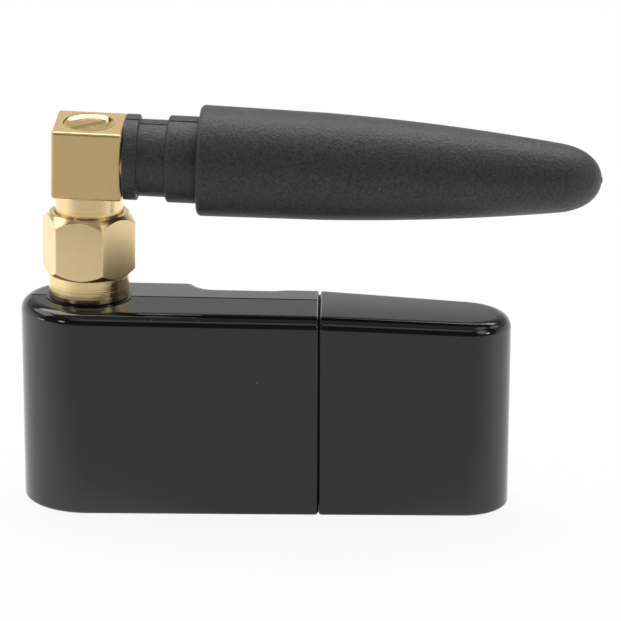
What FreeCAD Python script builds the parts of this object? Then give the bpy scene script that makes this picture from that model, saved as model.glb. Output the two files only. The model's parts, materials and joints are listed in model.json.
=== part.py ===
"""Wireless lighting-control stick with a pull-off plug cap and a screwed-on stub antenna.

Frame: +X runs from the antenna end to the cap, +Y points to the back and +Z up.
The origin lies on the base, in the parting plane, under the axis of the antenna port.
Lengths are in millimetres and angles in degrees.
"""
import FreeCAD
import Part
import math
import os

from FreeCAD import Placement, Rotation, Vector

X_AXIS = Vector(1, 0, 0)
Y_AXIS = Vector(0, 1, 0)
Z_AXIS = Vector(0, 0, 1)
BEYOND = 60.0                 # reach of a cutting body that has to pass right through
OVERSHOOT = 1.0               # how far a smaller one stands out past the face it opens

# Stick seen from above
END_RADIUS = 6.55             # round end, and so the depth of the front half
REAR_DEPTH = 5.8              # depth behind the parting plane at the antenna end
WAIST_DEPTH = 3.8             # depth behind it along the waist
RIDGE_DEPTH = 4.15            # depth behind it at the seam
BUMP_END = 9.1                # where the deep rear end starts to fall away
BUMP_BLEND = 3.0              # length of that smooth step
RIDGE_LENGTH = 2.9            # how far the raised back runs up to the seam
RIDGE_BLEND = 1.9
HOUSING_LENGTH = 28.75
CAP_LENGTH = 18.5
CAP_TAPER = 6.2               # angle by which the cap's back draws in
SEAM_GAP = 0.12
PARTING_GAP = 0.04
PARTING_GROOVE = 0.14         # depth, and half the width, of the groove over it on the housing's top

# Stick seen from the front
PORT_HEIGHT = 20.1            # top face at the port's axis
HOUSING_FALL = 0.8            # angle by which the housing's top falls towards the cap
CAP_FALL = 2.2                # the same for the cap
TOP_ROUND = 1.25
BASE_ROUND = 0.4
SEAM_ROUND = 0.25
WALL = 1.2
LIP_REACH = 1.4               # of the rim round the plug that the cap slides over
LIP_WALL = 0.8
LIP_FIT = 0.15                # air between that rim and the cap's inside

# Circuit board, which stands upright in front of the parting plane
BOARD_THICKNESS = 1.2
BOARD_EDGE_GAP = 0.4          # air between the board's edges and the housing
BOARD_CORNER = 1.0
SOLDER_GAP = 0.02             # air between a part and the board that it is soldered to

# Locating posts that clamp the board, two by the plug and one at the round end
POST_RADIUS = 1.2
POST_PIN_RADIUS = 0.6
POST_PIN_REACH = 1.6          # how far a pin enters the post opposite
POST_FIT = 0.05
POST_TAB_GAP = 0.25           # between a post by the plug and the notch for the plug's tab
POST_EDGE_INSET = 1.9         # of the two by the plug from the board's long edges
POST_END_INSET = 1.4          # of the third from the board's end
POST_END_RISE = 2.6           # of the third above the board's lower edge

# Plug, the standard type A size
PLUG_WIDTH = 12.0             # upright here
PLUG_DEPTH = 4.5
PLUG_SHEET = 0.3
PLUG_CORNER = 0.6
PLUG_LENGTH = 18.75
PLUG_REACH = 14.5             # how far it stands out of the housing
PLUG_HOLE_GAP = 0.1           # air round it in the housing's end wall
LATCH_WIDTH = 2.3
LATCH_LENGTH = 2.0
LATCH_SPACING = 5.1
LATCH_FROM_TIP = 5.2
TAB_LENGTH = 2.4
TAB_DEPTH = 2.0
TONGUE_DEPTH = 1.84
TONGUE_INSET = 0.7            # from the plug's mouth
INSERT_BLOCK_LENGTH = 3.6
INSERT_GAP = 0.03
CONTACT_WIDTH = 1.0
CONTACT_SHEET = 0.2
CONTACT_OFFSETS = (-3.5, -1.0, 1.0, 3.5)
CONTACT_INSET = 1.5           # of the two outer contacts from the tongue's tip
CONTACT_STEP_BACK = 1.0       # of the two inner ones behind the outer ones
CONTACT_TAIL = 2.0

# Cap's inside
POCKET_GAP = 0.12             # air between the plug and its pocket
POCKET_WALL = 0.8
POCKET_FLOOR_GAP = 0.6        # air in front of the plug's mouth
POCKET_LIP_GAP = 0.4          # air between the housing's lip and the pocket's rim
RIB_THICKNESS = 0.8

# Components on the board
COMPONENT_GAP = 0.4           # between one component and the next
CONTROLLER_SIDE = 5.0
CONTROLLER_HEIGHT = 1.2
CONTROLLER_LEADS = 8
CONTROLLER_PITCH = 0.5
LEAD_WIDTH = 0.22
LEAD_REACH = 1.0
LEAD_SHEET = 0.15
RADIO_SIDE = 4.0
RADIO_HEIGHT = 0.9
AMPLIFIER_SIDE = 3.0
CRYSTAL_LENGTH = 3.2
CRYSTAL_WIDTH = 2.5
CRYSTAL_HEIGHT = 0.8
REGULATOR_LENGTH = 2.9
REGULATOR_WIDTH = 1.6
REGULATOR_HEIGHT = 1.1
CHIP_LENGTH = 1.6             # of each capacitor and resistor
CHIP_WIDTH = 0.8
CHIP_PITCH = 1.5
CHIPS_IN_ROW = 3
CAPACITOR_HEIGHT = 0.8
RESISTOR_HEIGHT = 0.45

# Antenna jack, with heights counted from the housing's top along the port's axis
JACK_RADIUS = 3.1             # mean radius of its thread
JACK_REACH = 5.6
JACK_BORE_RADIUS = 2.05
JACK_MOUTH_RADIUS = 2.32
JACK_MOUTH_DEPTH = 1.93
FLANGE_SIDE = 6.4
FLANGE_THICKNESS = 1.5
PORT_HOLE_GAP = 0.15
LEG_SIDE = 1.0
LEG_LENGTH = 3.6
LEG_SPREAD = 5.1
CONTACT_PIN_RADIUS = 0.635
SOCKET_RADIUS = 0.49
SOCKET_DEPTH = 2.9
SOCKET_SLIT = 0.16
SOCKET_SLIT_DEPTH = 2.3
SOLDER_TAIL = 2.2
BORE_GAP = 0.03               # air between an insulator and what holds it
PORT_RING_WIDTH = 0.85
PORT_RING_HEIGHT = 0.1

# Coupling nut
NUT_STANDOFF = 0.03
HEX_WALL = 0.325              # metal left between the ring's groove and the flats
HEX_HEIGHT = 6.1
HEX_TURN = 10.0               # how far its front face looks to the left
HEX_RIM = 0.495               # flat rim round the bore, inside the slope on its top
HEX_TOP_DROP = 0.94           # fall of that slope out to the corners
SKIRT_WALL = 0.73
SKIRT_HEIGHT = 2.26
RUNNING_GAP = 0.05
RING_SHEET = 0.4
RING_SEAT = 0.35              # depth of the ring's groove in the ferrule
RING_PLAY = 0.08
RING_SPLIT = 1.2
RING_DROP = 1.3               # from the nut's top to the ring's upper face

# Right-angle body of the antenna
FERRULE_STEP = 0.145          # by how much the ferrule is thicker than the jack's thread
GASKET_THICKNESS = 0.3
GASKET_GAP = 0.02
BARREL_GAP = 0.035            # air round the barrel in the jack's mouth
PIN_TIP_REACH = 2.1
BLOCK_LENGTH = 6.7
BLOCK_HEEL = 3.25             # how far it reaches behind the port's axis
BLOCK_DEPTH = 6.45
BLOCK_OVER_ARM = 3.26         # how far the block reaches above the arm's axis
BLOCK_UNDER_ARM = 3.47
BLOCK_BASE = 10.65            # its underside above the port, where the body bends
BLOCK_ROUND = 0.3
BLOCK_LEAN = 6.0              # how far the block leans to the front above the ferrule
ARM_SWIVEL = -2.0             # turn of the arm about the port as photographed
ARM_DROOP = 1.1               # how far the arm hangs below square
BOSS_RADIUS = 3.2             # low round boss where the arm leaves the block
BOSS_HEIGHT = 0.05
ARM_BARREL_RADIUS = 2.6
ARM_BARREL_LENGTH = 3.8
COVER_RADIUS = 2.4
COVER_THICKNESS = 0.8
COVER_RECESS = 0.25
COVER_GAP = 0.06
COVER_SLOT_WIDTH = 0.8
COVER_SLOT_DEPTH = 0.5
COVER_SLOT_TURN = 35.0

# Antenna, with stations counted along its arm from the port's axis
COLLAR_RADIUS = 4.1
COLLAR_LENGTH = 1.35
COLLAR_BEVEL = 0.12
NECK_RADIUS = 3.68
NECK_LENGTH = 2.7
SHOULDER_RADIUS = 4.15
SHOULDER_LENGTH = 3.0
SHOULDER_ROUND = 0.3
SPIGOT_RADIUS = 3.9
SPIGOT_LENGTH = 3.5
SLEEVE_GAP = 0.05
SLEEVE_START_RADIUS = 5.3
SLEEVE_START_ROUND = 0.5
SLEEVE_STRAIGHT_LENGTH = 12.1
SLEEVE_STRAIGHT_RADIUS = 5.1  # where the straight stretch ends
SLEEVE_MIDDLE_RADIUS = 4.46
SLEEVE_SHOULDER_RADIUS = 3.3  # where the nose begins
SLEEVE_LENGTH = 38.3
NOSE_LENGTH = 4.0
NOSE_FULLNESS = 0.62          # share of the nose that its side keeps straight
TIP_FULLNESS = 0.52           # share of its radius that its tip keeps flat
SLEEVE_WALL = 1.5
CABLE_RADIUS = 0.9
RADIATOR_RADIUS = 2.4
RADIATOR_SHEET = 0.3
RADIATOR_LENGTH = 12.0
WIRE_RADIUS = 0.45
WIRE_TIP_GAP = 3.05           # air between the wire's end and the sleeve's tip

# Places and sizes that follow from the driving ones
SEAM_X = HOUSING_LENGTH - END_RADIUS
RIDGE_START = SEAM_X - RIDGE_LENGTH - RIDGE_BLEND
CAP_START_X = SEAM_X + SEAM_GAP
CAP_END_X = SEAM_X + CAP_LENGTH
LIP_END_X = SEAM_X + LIP_REACH
SEAM_HEIGHT = PORT_HEIGHT - SEAM_X * math.tan(math.radians(HOUSING_FALL))
BLANK_HEIGHT = PORT_HEIGHT + 2 * WALL
FLANGE_TOP = -WALL - SOLDER_GAP
FLANGE_BASE = FLANGE_TOP - FLANGE_THICKNESS
BOARD_REAR_Y = -CONTACT_PIN_RADIUS - SOLDER_GAP
BOARD_FRONT_Y = BOARD_REAR_Y - BOARD_THICKNESS
BOARD_MIDDLE_Y = (BOARD_FRONT_Y + BOARD_REAR_Y) / 2
BOARD_BASE_Z = WALL + BOARD_EDGE_GAP
BOARD_TOP_Z = PORT_HEIGHT + FLANGE_BASE - BOARD_EDGE_GAP / 4
BOARD_MIDDLE_Z = (BOARD_BASE_Z + BOARD_TOP_Z) / 2
BOARD_LEFT_X = BOARD_EDGE_GAP - math.sqrt((END_RADIUS - WALL) ** 2 - BOARD_FRONT_Y ** 2)
PLUG_TIP_X = SEAM_X + PLUG_REACH
PLUG_BACK_X = PLUG_TIP_X - PLUG_LENGTH
PLUG_Z = SEAM_HEIGHT / 2
BOARD_RIGHT_X = PLUG_BACK_X - BOARD_EDGE_GAP / 2
TONGUE_TOP_Y = BOARD_MIDDLE_Y - PLUG_DEPTH / 2 + PLUG_SHEET + INSERT_GAP + TONGUE_DEPTH
NOTCH_X = PLUG_BACK_X - TAB_LENGTH - PLUG_HOLE_GAP
POST_BY_PLUG_X = NOTCH_X - POST_TAB_GAP - POST_RADIUS
POST_AT_END_X = BOARD_LEFT_X + POST_END_INSET
POSTS = (
    (POST_BY_PLUG_X, BOARD_BASE_Z + POST_EDGE_INSET),
    (POST_BY_PLUG_X, BOARD_TOP_Z - POST_EDGE_INSET),
    (POST_AT_END_X, BOARD_BASE_Z + POST_END_RISE),
)
CONTROLLER_HALF = CONTROLLER_SIDE / 2 + LEAD_REACH
REGULATOR_X = BOARD_RIGHT_X - CONTACT_TAIL - COMPONENT_GAP - REGULATOR_WIDTH / 2
CONTROLLER_X = REGULATOR_X - REGULATOR_WIDTH / 2 - COMPONENT_GAP - CONTROLLER_HALF
CONTROLLER_CRYSTAL_Z = BOARD_MIDDLE_Z - CONTROLLER_HALF - COMPONENT_GAP - CRYSTAL_WIDTH / 2
CAPACITORS_Z = BOARD_MIDDLE_Z + CONTROLLER_HALF + COMPONENT_GAP + CHIP_LENGTH / 2
AMPLIFIER_Z = PORT_HEIGHT + FLANGE_BASE - SOLDER_TAIL - COMPONENT_GAP - AMPLIFIER_SIDE / 2
RADIO_Z = AMPLIFIER_Z - (AMPLIFIER_SIDE + RADIO_SIDE) / 2 - COMPONENT_GAP
RADIO_CRYSTAL_Z = RADIO_Z - (RADIO_SIDE + CRYSTAL_WIDTH) / 2 - COMPONENT_GAP
RADIO_CRYSTAL_X = POST_AT_END_X + POST_RADIUS + COMPONENT_GAP + CRYSTAL_LENGTH / 2
FERRULE_RADIUS = JACK_RADIUS + FERRULE_STEP
BARREL_RADIUS = JACK_MOUTH_RADIUS - BARREL_GAP
PIN_TIP_RADIUS = SOCKET_RADIUS - BORE_GAP
PORT_RING_RADIUS = JACK_RADIUS + PORT_HOLE_GAP + PORT_RING_WIDTH
SKIRT_RADIUS = JACK_RADIUS + RUNNING_GAP + SKIRT_WALL
GROOVE_RADIUS = FERRULE_RADIUS + RING_SEAT + RING_PLAY
HEX_FLATS = 2 * (GROOVE_RADIUS + HEX_WALL)
HEX_TOP_RADIUS = FERRULE_RADIUS + RUNNING_GAP + HEX_RIM
NUT_BASE = PORT_RING_HEIGHT + NUT_STANDOFF
HEX_BASE = NUT_BASE + SKIRT_HEIGHT
NUT_TOP = HEX_BASE + HEX_HEIGHT
REFERENCE_PLANE = JACK_REACH - JACK_MOUTH_DEPTH
PIN_START = REFERENCE_PLANE + GASKET_GAP
FERRULE_BASE = JACK_REACH + GASKET_THICKNESS + 2 * GASKET_GAP
FERRULE_TOP = BLOCK_BASE + BLOCK_ROUND + FERRULE_RADIUS * math.sin(math.radians(BLOCK_LEAN))
RING_TOP = NUT_TOP - RING_DROP
BLOCK_SIDE_X = BLOCK_LENGTH - BLOCK_HEEL
BLOCK_MIDDLE_X = BLOCK_LENGTH / 2 - BLOCK_HEEL
COLLAR_X = BLOCK_SIDE_X + BOSS_HEIGHT
NECK_X = COLLAR_X + COLLAR_LENGTH
SHOULDER_X = NECK_X + NECK_LENGTH
SLEEVE_X = SHOULDER_X + SHOULDER_LENGTH
SPIGOT_END_X = SLEEVE_X + SPIGOT_LENGTH
ARM_BARREL_END_X = BLOCK_SIDE_X + ARM_BARREL_LENGTH
SLEEVE_TIP_X = SLEEVE_X + SLEEVE_LENGTH
RADIATOR_X = SPIGOT_END_X + SLEEVE_GAP
RADIATOR_END_X = RADIATOR_X + RADIATOR_LENGTH
WIRE_END_X = SLEEVE_TIP_X - SLEEVE_WALL - WIRE_TIP_GAP

PORT_FRAME = Placement(Vector(0, 0, PORT_HEIGHT), Rotation(Y_AXIS, HOUSING_FALL))
LEAN_FRAME = Placement(Vector(0, 0, BLOCK_BASE), Rotation(X_AXIS, BLOCK_LEAN))
ARM_FRAME = LEAN_FRAME.multiply(Placement(
    Vector(0, 0, BLOCK_UNDER_ARM), Rotation(Z_AXIS, ARM_SWIVEL).multiply(Rotation(Y_AXIS, ARM_DROOP))))


def block(x_range, y_range, z_range):
    """Return a box between two values on each axis."""
    low = Vector(x_range[0], y_range[0], z_range[0])
    return Part.makeBox(x_range[1] - x_range[0], y_range[1] - y_range[0], z_range[1] - z_range[0], low)


def centred(middle, width):
    """Return the two ends of a width about its middle."""
    return middle - width / 2, middle + width / 2


def rod(radius, start, end, axis=Z_AXIS, base=Vector(0, 0, 0)):
    """Return a cylinder between two stations along an axis."""
    return Part.makeCylinder(radius, end - start, base + axis * start, axis)


def tube(outer, inner, start, end, axis=Z_AXIS):
    """Return a round tube between two stations along an axis."""
    return rod(outer, start, end, axis).cut(rod(inner, start, end, axis))


def joined(shapes):
    """Fuse several solids into one and clean up the faces that they share."""
    return shapes[0].fuse(shapes[1:]).removeSplitter()


def turned(edges, axis=X_AXIS):
    """Turn a closed half outline about an axis through the origin."""
    face = Part.Face(Part.Wire(Part.__sortEdges__(edges)))
    return face.revolve(Vector(0, 0, 0), axis, 360)


def segments(points):
    """Return the straight edges that join a list of points in turn."""
    return [Part.makeLine(a, b) for a, b in zip(points, points[1:])]


def upright(edges, base, top):
    """Raise a closed plan outline from one height to another."""
    face = Part.Face(Part.Wire(Part.__sortEdges__(edges)))
    face.translate(Vector(0, 0, base))
    return face.extrude(Vector(0, 0, top - base))


def roof(fall, x, height):
    """Return all that lies above a plane which falls along X through a point."""
    above = Part.makeBox(4 * BEYOND, 4 * BEYOND, BEYOND, Vector(-2 * BEYOND, -2 * BEYOND, 0))
    above.Placement = Placement(Vector(x, 0, height), Rotation(Y_AXIS, fall))
    return above


def smooth_step(x0, y0, x1, y1, inset):
    """Return two tangent arcs that carry the back from one depth to another."""
    half_turn = math.atan(abs(y1 - y0) / (x1 - x0))
    radius = (x1 - x0) / (2 * math.sin(2 * half_turn))
    side = 1 if y1 < y0 else -1
    up = Vector(0, side, 0)
    first, second = Vector(x0, y0, 0) - up * radius, Vector(x1, y1, 0) + up * radius
    across = (second - first).normalize()
    half_way = (up + across).normalize()
    near, far = radius - side * inset, radius + side * inset
    meeting = first + across * near
    return [
        Part.Arc(first + up * near, first + half_way * near, meeting).toShape(),
        Part.Arc(meeting, second - half_way * far, second - up * far).toShape(),
    ]


def quarter(centre, radius, start, end):
    """Return an arc about a centre between two angles in degrees."""
    def on_circle(angle):
        return centre + Vector(math.cos(math.radians(angle)), math.sin(math.radians(angle)), 0) * radius
    return Part.Arc(on_circle(start), on_circle((start + end) / 2), on_circle(end)).toShape()


def housing_outline(inset, end_x):
    """Return the housing's outline seen from above, drawn in by a wall."""
    front, back = END_RADIUS - inset, REAR_DEPTH - inset
    back_centre = Vector(REAR_DEPTH - END_RADIUS, 0, 0)
    step_down = smooth_step(BUMP_END, REAR_DEPTH, BUMP_END + BUMP_BLEND, WAIST_DEPTH, inset)
    step_up = smooth_step(RIDGE_START, WAIST_DEPTH, RIDGE_START + RIDGE_BLEND, RIDGE_DEPTH, inset)
    ridge, waist = RIDGE_DEPTH - inset, WAIST_DEPTH - inset
    return [
        quarter(Vector(0, 0, 0), front, 180, 270),
        Part.makeLine(Vector(0, -front, 0), Vector(end_x, -front, 0)),
        Part.makeLine(Vector(end_x, -front, 0), Vector(end_x, ridge, 0)),
        Part.makeLine(Vector(end_x, ridge, 0), Vector(RIDGE_START + RIDGE_BLEND, ridge, 0)),
        *step_up,
        Part.makeLine(Vector(RIDGE_START, waist, 0), Vector(BUMP_END + BUMP_BLEND, waist, 0)),
        *step_down,
        Part.makeLine(Vector(BUMP_END, back, 0), Vector(back_centre.x, back, 0)),
        quarter(back_centre, back, 90, 180),
    ]


def cap_outline(inset, start_x):
    """Return the cap's outline seen from above: a flat front, a tapered back and a full round end."""
    taper = math.radians(CAP_TAPER)
    depth = END_RADIUS + RIDGE_DEPTH
    round_end = (depth * math.cos(taper) - CAP_LENGTH * math.sin(taper)) / (
        1 + math.cos(taper) - math.sin(taper))
    centre = Vector(CAP_END_X - round_end, round_end - END_RADIUS, 0)
    radius = round_end - inset
    leaving = centre + Vector(math.sin(taper), math.cos(taper), 0) * radius
    start_back = leaving + Vector(-1, math.tan(taper), 0) * (leaving.x - start_x)
    start_front = Vector(start_x, inset - END_RADIUS, 0)
    return [
        Part.makeLine(start_front, centre - Y_AXIS * radius),
        quarter(centre, radius, -90, 90 - CAP_TAPER),
        Part.makeLine(leaving, start_back),
        Part.makeLine(start_back, start_front),
    ]


def rim_edges(solid, at_seam):
    """Return the edges where the top meets the outer walls, and those round the seam's face."""
    def on_seam(edge):
        return all(abs(vertex.X - at_seam) < 1e-6 for vertex in edge.Vertexes)
    top = max(solid.Faces, key=lambda face: face.CenterOfMass.z)
    base = min(solid.Faces, key=lambda face: face.CenterOfMass.z)
    over = [edge for edge in top.Edges if not on_seam(edge)]
    under = [edge for edge in base.Edges if not on_seam(edge)]
    return over, under


def rounded_body(outline, fall, x, height, seam_x):
    """Raise an outline to a falling top and round its top, base and seam edges."""
    body = upright(outline, 0, BLANK_HEIGHT).cut(roof(fall, x, height))
    over, _ = rim_edges(body, seam_x)
    body = body.makeFillet(TOP_ROUND, over)
    _, under = rim_edges(body, seam_x)
    body = body.makeFillet(BASE_ROUND, under)
    seam_face = min(body.Faces, key=lambda face: abs(face.CenterOfMass.x - seam_x) + abs(
        face.BoundBox.XLength))
    return body.makeFillet(SEAM_ROUND, seam_face.Edges)


def inside_cap(inset, end_x):
    """Return the room inside the cap's outer form, drawn in by a wall, from the seam to a station."""
    room = upright(cap_outline(inset, SEAM_X - WALL / 2), inset, PORT_HEIGHT)
    room = room.cut(roof(CAP_FALL, SEAM_X, SEAM_HEIGHT - inset / math.cos(math.radians(CAP_FALL))))
    return room.common(block((0, end_x), (-BEYOND, BEYOND), (0, BEYOND)))


def seam_lip():
    """Return the rim round the plug that the cap slides over, which hides the seam's gap."""
    outer = inside_cap(WALL + LIP_FIT, LIP_END_X)
    return outer.cut(inside_cap(WALL + LIP_FIT + LIP_WALL, LIP_END_X + OVERSHOOT))


def parting_groove():
    """Return the fine groove on the housing's top in which its two halves meet."""
    left, right = -END_RADIUS - OVERSHOOT, SEAM_X + OVERSHOOT
    side, bottom = 2 * PARTING_GROOVE, Vector(left, 0, -PARTING_GROOVE)
    corners = [bottom, Vector(left, side, PARTING_GROOVE), Vector(left, -side, PARTING_GROOVE), bottom]
    groove = Part.Face(Part.makePolygon(corners)).extrude(X_AXIS * (right - left))
    groove.Placement = PORT_FRAME
    return groove


def housing_shell():
    """Return both halves of the hollow housing as one solid, with its two openings."""
    outside = rounded_body(housing_outline(0, SEAM_X), HOUSING_FALL, 0, PORT_HEIGHT, SEAM_X)
    hollow = upright(housing_outline(WALL, SEAM_X - WALL), WALL, BLANK_HEIGHT)
    hollow = hollow.cut(roof(HOUSING_FALL, 0, PORT_HEIGHT - WALL / math.cos(math.radians(HOUSING_FALL))))
    plug_hole = plug_section(PLUG_HOLE_GAP, SEAM_X - 2 * WALL, SEAM_X + WALL)
    port_hole = rod(JACK_RADIUS + PORT_HOLE_GAP, -2 * WALL, 2 * WALL)
    port_hole.Placement = PORT_FRAME
    return outside.cut(hollow).fuse(seam_lip()).cut(plug_hole).cut(port_hole).cut(parting_groove())


def half_space(y_low, y_high):
    """Return a slab across the whole stick between two depths."""
    return block((-BEYOND, 2 * BEYOND), (y_low, y_high), (-BEYOND, BEYOND))


def front_shell():
    """Return the front half: a flat face, a round end and three posts under the board."""
    shell = housing_shell().common(half_space(-BEYOND, -PARTING_GAP / 2))
    posts = []
    for x, z in POSTS:
        post = rod(POST_RADIUS, WALL / 2 - END_RADIUS, BOARD_FRONT_Y, Y_AXIS, Vector(x, 0, z))
        socket = rod(POST_PIN_RADIUS + POST_FIT, BOARD_FRONT_Y - POST_PIN_REACH - POST_FIT,
                     BOARD_FRONT_Y, Y_AXIS, Vector(x, 0, z))
        within = upright(housing_outline(WALL / 2, SEAM_X - WALL / 2), WALL / 2, PORT_HEIGHT - WALL)
        posts.append(post.common(within).cut(socket))
    return joined([shell, *posts])


def rear_shell():
    """Return the rear half: bump, waist and ridge, with pins that reach through the board."""
    shell = housing_shell().common(half_space(PARTING_GAP / 2, BEYOND))
    within = upright(housing_outline(WALL / 2, SEAM_X - WALL / 2), WALL / 2, PORT_HEIGHT - WALL)
    posts = []
    for x, z in POSTS:
        foot = Vector(x, 0, z)
        post = rod(POST_RADIUS, BOARD_REAR_Y + SOLDER_GAP, REAR_DEPTH, Y_AXIS, foot).common(within)
        pin = rod(POST_PIN_RADIUS, BOARD_FRONT_Y - POST_PIN_REACH, WAIST_DEPTH / 2, Y_AXIS, foot)
        posts.extend([post, pin])
    return joined([shell, *posts])


def usb_cap():
    """Return the pull-off cap: an outer shell and a plug pocket held by ribs."""
    outside = rounded_body(cap_outline(0, CAP_START_X), CAP_FALL, SEAM_X, SEAM_HEIGHT, CAP_START_X)
    hollow = upright(cap_outline(WALL, CAP_START_X - WALL), WALL, PORT_HEIGHT)
    hollow = hollow.cut(roof(CAP_FALL, SEAM_X, SEAM_HEIGHT - WALL / math.cos(math.radians(CAP_FALL))))
    pocket_end = PLUG_TIP_X + POCKET_FLOOR_GAP
    rim_x = LIP_END_X + POCKET_LIP_GAP
    lining = plug_section(POCKET_GAP + POCKET_WALL, rim_x, pocket_end + POCKET_WALL)
    upright_rib = block((rim_x, pocket_end), centred(BOARD_MIDDLE_Y, RIB_THICKNESS), (0, PORT_HEIGHT))
    level_rib = block((rim_x, pocket_end), (-END_RADIUS, END_RADIUS), centred(PLUG_Z, RIB_THICKNESS))
    inside = joined([lining, upright_rib, level_rib]).common(outside)
    pocket = plug_section(POCKET_GAP, CAP_START_X - WALL, pocket_end)
    return joined([outside.cut(hollow), inside]).cut(pocket)


def rounded_upright(width, depth, corner, x, y, z):
    """Return an upright rectangle with round corners, as a face square to X."""
    half_y, half_z = depth / 2, width / 2
    edges = []
    for turn, (side_y, side_z) in enumerate(((1, 1), (-1, 1), (-1, -1), (1, -1))):
        centre = Vector(x, y + side_y * (half_y - corner), z + side_z * (half_z - corner))
        edges.append(Part.makeCircle(corner, centre, X_AXIS, turn * 90, turn * 90 + 90))
    ends = [(edge.valueAt(edge.FirstParameter), edge.valueAt(edge.LastParameter)) for edge in edges]
    sides = [Part.makeLine(ends[i][1], ends[(i + 1) % 4][0]) for i in range(4)]
    return Part.Face(Part.Wire(Part.__sortEdges__(edges + sides)))


def plug_section(growth, start_x, end_x):
    """Return the plug's outer form, grown on all sides, between two stations."""
    face = rounded_upright(PLUG_WIDTH + 2 * growth, PLUG_DEPTH + 2 * growth, PLUG_CORNER + growth,
                           start_x, BOARD_MIDDLE_Y, PLUG_Z)
    return face.extrude(X_AXIS * (end_x - start_x))


def plug_shell():
    """Return the plug's folded sheet: a tube with four latch windows and two solder tabs."""
    sheet = plug_section(0, PLUG_BACK_X, PLUG_TIP_X).cut(
        plug_section(-PLUG_SHEET, PLUG_BACK_X, PLUG_TIP_X))
    latch_x = PLUG_TIP_X - LATCH_FROM_TIP - LATCH_LENGTH, PLUG_TIP_X - LATCH_FROM_TIP
    for side in (-1, 1):
        across = centred(PLUG_Z + side * LATCH_SPACING / 2, LATCH_WIDTH)
        sheet = sheet.cut(block(latch_x, centred(BOARD_MIDDLE_Y, 2 * PLUG_DEPTH), across))
    tabs = []
    for side in (-1, 1):
        middle = PLUG_Z + side * (PLUG_WIDTH - PLUG_SHEET) / 2
        tabs.append(block((PLUG_BACK_X - TAB_LENGTH, PLUG_BACK_X), centred(BOARD_MIDDLE_Y, TAB_DEPTH),
                          centred(middle, PLUG_SHEET)))
    return joined([sheet, *tabs])


def contact_strip(offset, inset):
    """Return one contact: a strip along the tongue that steps over to the board."""
    tip_x = PLUG_TIP_X - TONGUE_INSET - inset
    step_x = PLUG_BACK_X + INSERT_BLOCK_LENGTH / 2
    tail_y = BOARD_REAR_Y + SOLDER_GAP
    tail_x = BOARD_RIGHT_X - CONTACT_TAIL
    rise = tail_y - TONGUE_TOP_Y
    outline = [
        Vector(tip_x, TONGUE_TOP_Y, 0),
        Vector(tip_x, TONGUE_TOP_Y + CONTACT_SHEET, 0),
        Vector(step_x + rise, TONGUE_TOP_Y + CONTACT_SHEET, 0),
        Vector(step_x, tail_y + CONTACT_SHEET, 0),
        Vector(tail_x, tail_y + CONTACT_SHEET, 0),
        Vector(tail_x, tail_y, 0),
        Vector(step_x - CONTACT_SHEET / 2, tail_y, 0),
        Vector(step_x - CONTACT_SHEET / 2 + rise, TONGUE_TOP_Y, 0),
    ]
    low, high = centred(PLUG_Z + offset, CONTACT_WIDTH)
    return upright(segments(outline + outline[:1]), low, high)


def plug_contacts():
    """Return the four contacts, the outer pair reaching further forward."""
    farthest = max(abs(offset) for offset in CONTACT_OFFSETS)
    return [
        contact_strip(offset, CONTACT_INSET + (0 if abs(offset) == farthest else CONTACT_STEP_BACK))
        for offset in CONTACT_OFFSETS
    ]


def plug_insert(contacts):
    """Return the plug's moulding: a block at the back and the tongue that carries the contacts."""
    inner = PLUG_SHEET + INSERT_GAP
    back = plug_section(-inner, PLUG_BACK_X, PLUG_BACK_X + INSERT_BLOCK_LENGTH)
    tongue = plug_section(-inner, PLUG_BACK_X, PLUG_TIP_X - TONGUE_INSET).common(
        half_space(-BEYOND, TONGUE_TOP_Y))
    insert = joined([back, tongue])
    for strip in contacts:
        insert = insert.cut(strip)
    return insert


def circuit_board():
    """Return the board with its post holes and the notches for the plug's tabs."""
    board = block((BOARD_LEFT_X, BOARD_RIGHT_X), (BOARD_FRONT_Y, BOARD_REAR_Y), (BOARD_BASE_Z, BOARD_TOP_Z))
    corners = [edge for edge in board.Edges if abs(edge.tangentAt(edge.FirstParameter).y) > 0.9]
    board = board.makeFillet(BOARD_CORNER, corners)
    for x, z in POSTS:
        board = board.cut(rod(POST_PIN_RADIUS + POST_FIT, -BEYOND, BEYOND, Y_AXIS, Vector(x, 0, z)))
    for side in (-1, 1):
        middle = PLUG_Z + side * (PLUG_WIDTH - PLUG_SHEET) / 2
        notch = block((NOTCH_X, PLUG_BACK_X), (BOARD_FRONT_Y - OVERSHOOT, BOARD_REAR_Y + OVERSHOOT),
                      centred(middle, PLUG_SHEET + 2 * PLUG_HOLE_GAP))
        board = board.cut(notch)
    return board


def on_board(x, z, length, width, height):
    """Return a block-shaped component that stands on the board's rear face."""
    rear = BOARD_REAR_Y + SOLDER_GAP
    return block(centred(x, length), (rear, rear + height), centred(z, width))


def microcontroller():
    """Return the flat square controller with leads on its four sides."""
    x, z = CONTROLLER_X, BOARD_MIDDLE_Z
    pieces = [on_board(x, z, CONTROLLER_SIDE, CONTROLLER_SIDE, CONTROLLER_HEIGHT)]
    span = CONTROLLER_SIDE + 2 * LEAD_REACH
    for index in range(CONTROLLER_LEADS):
        offset = (index - (CONTROLLER_LEADS - 1) / 2) * CONTROLLER_PITCH
        pieces.append(on_board(x, z + offset, span, LEAD_WIDTH, LEAD_SHEET))
        pieces.append(on_board(x + offset, z, LEAD_WIDTH, span, LEAD_SHEET))
    return joined(pieces)


def in_front(component):
    """Move a component from the board's rear face to the same place on its front face."""
    return component.mirror(Vector(0, BOARD_MIDDLE_Y, 0), Y_AXIS)


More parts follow.
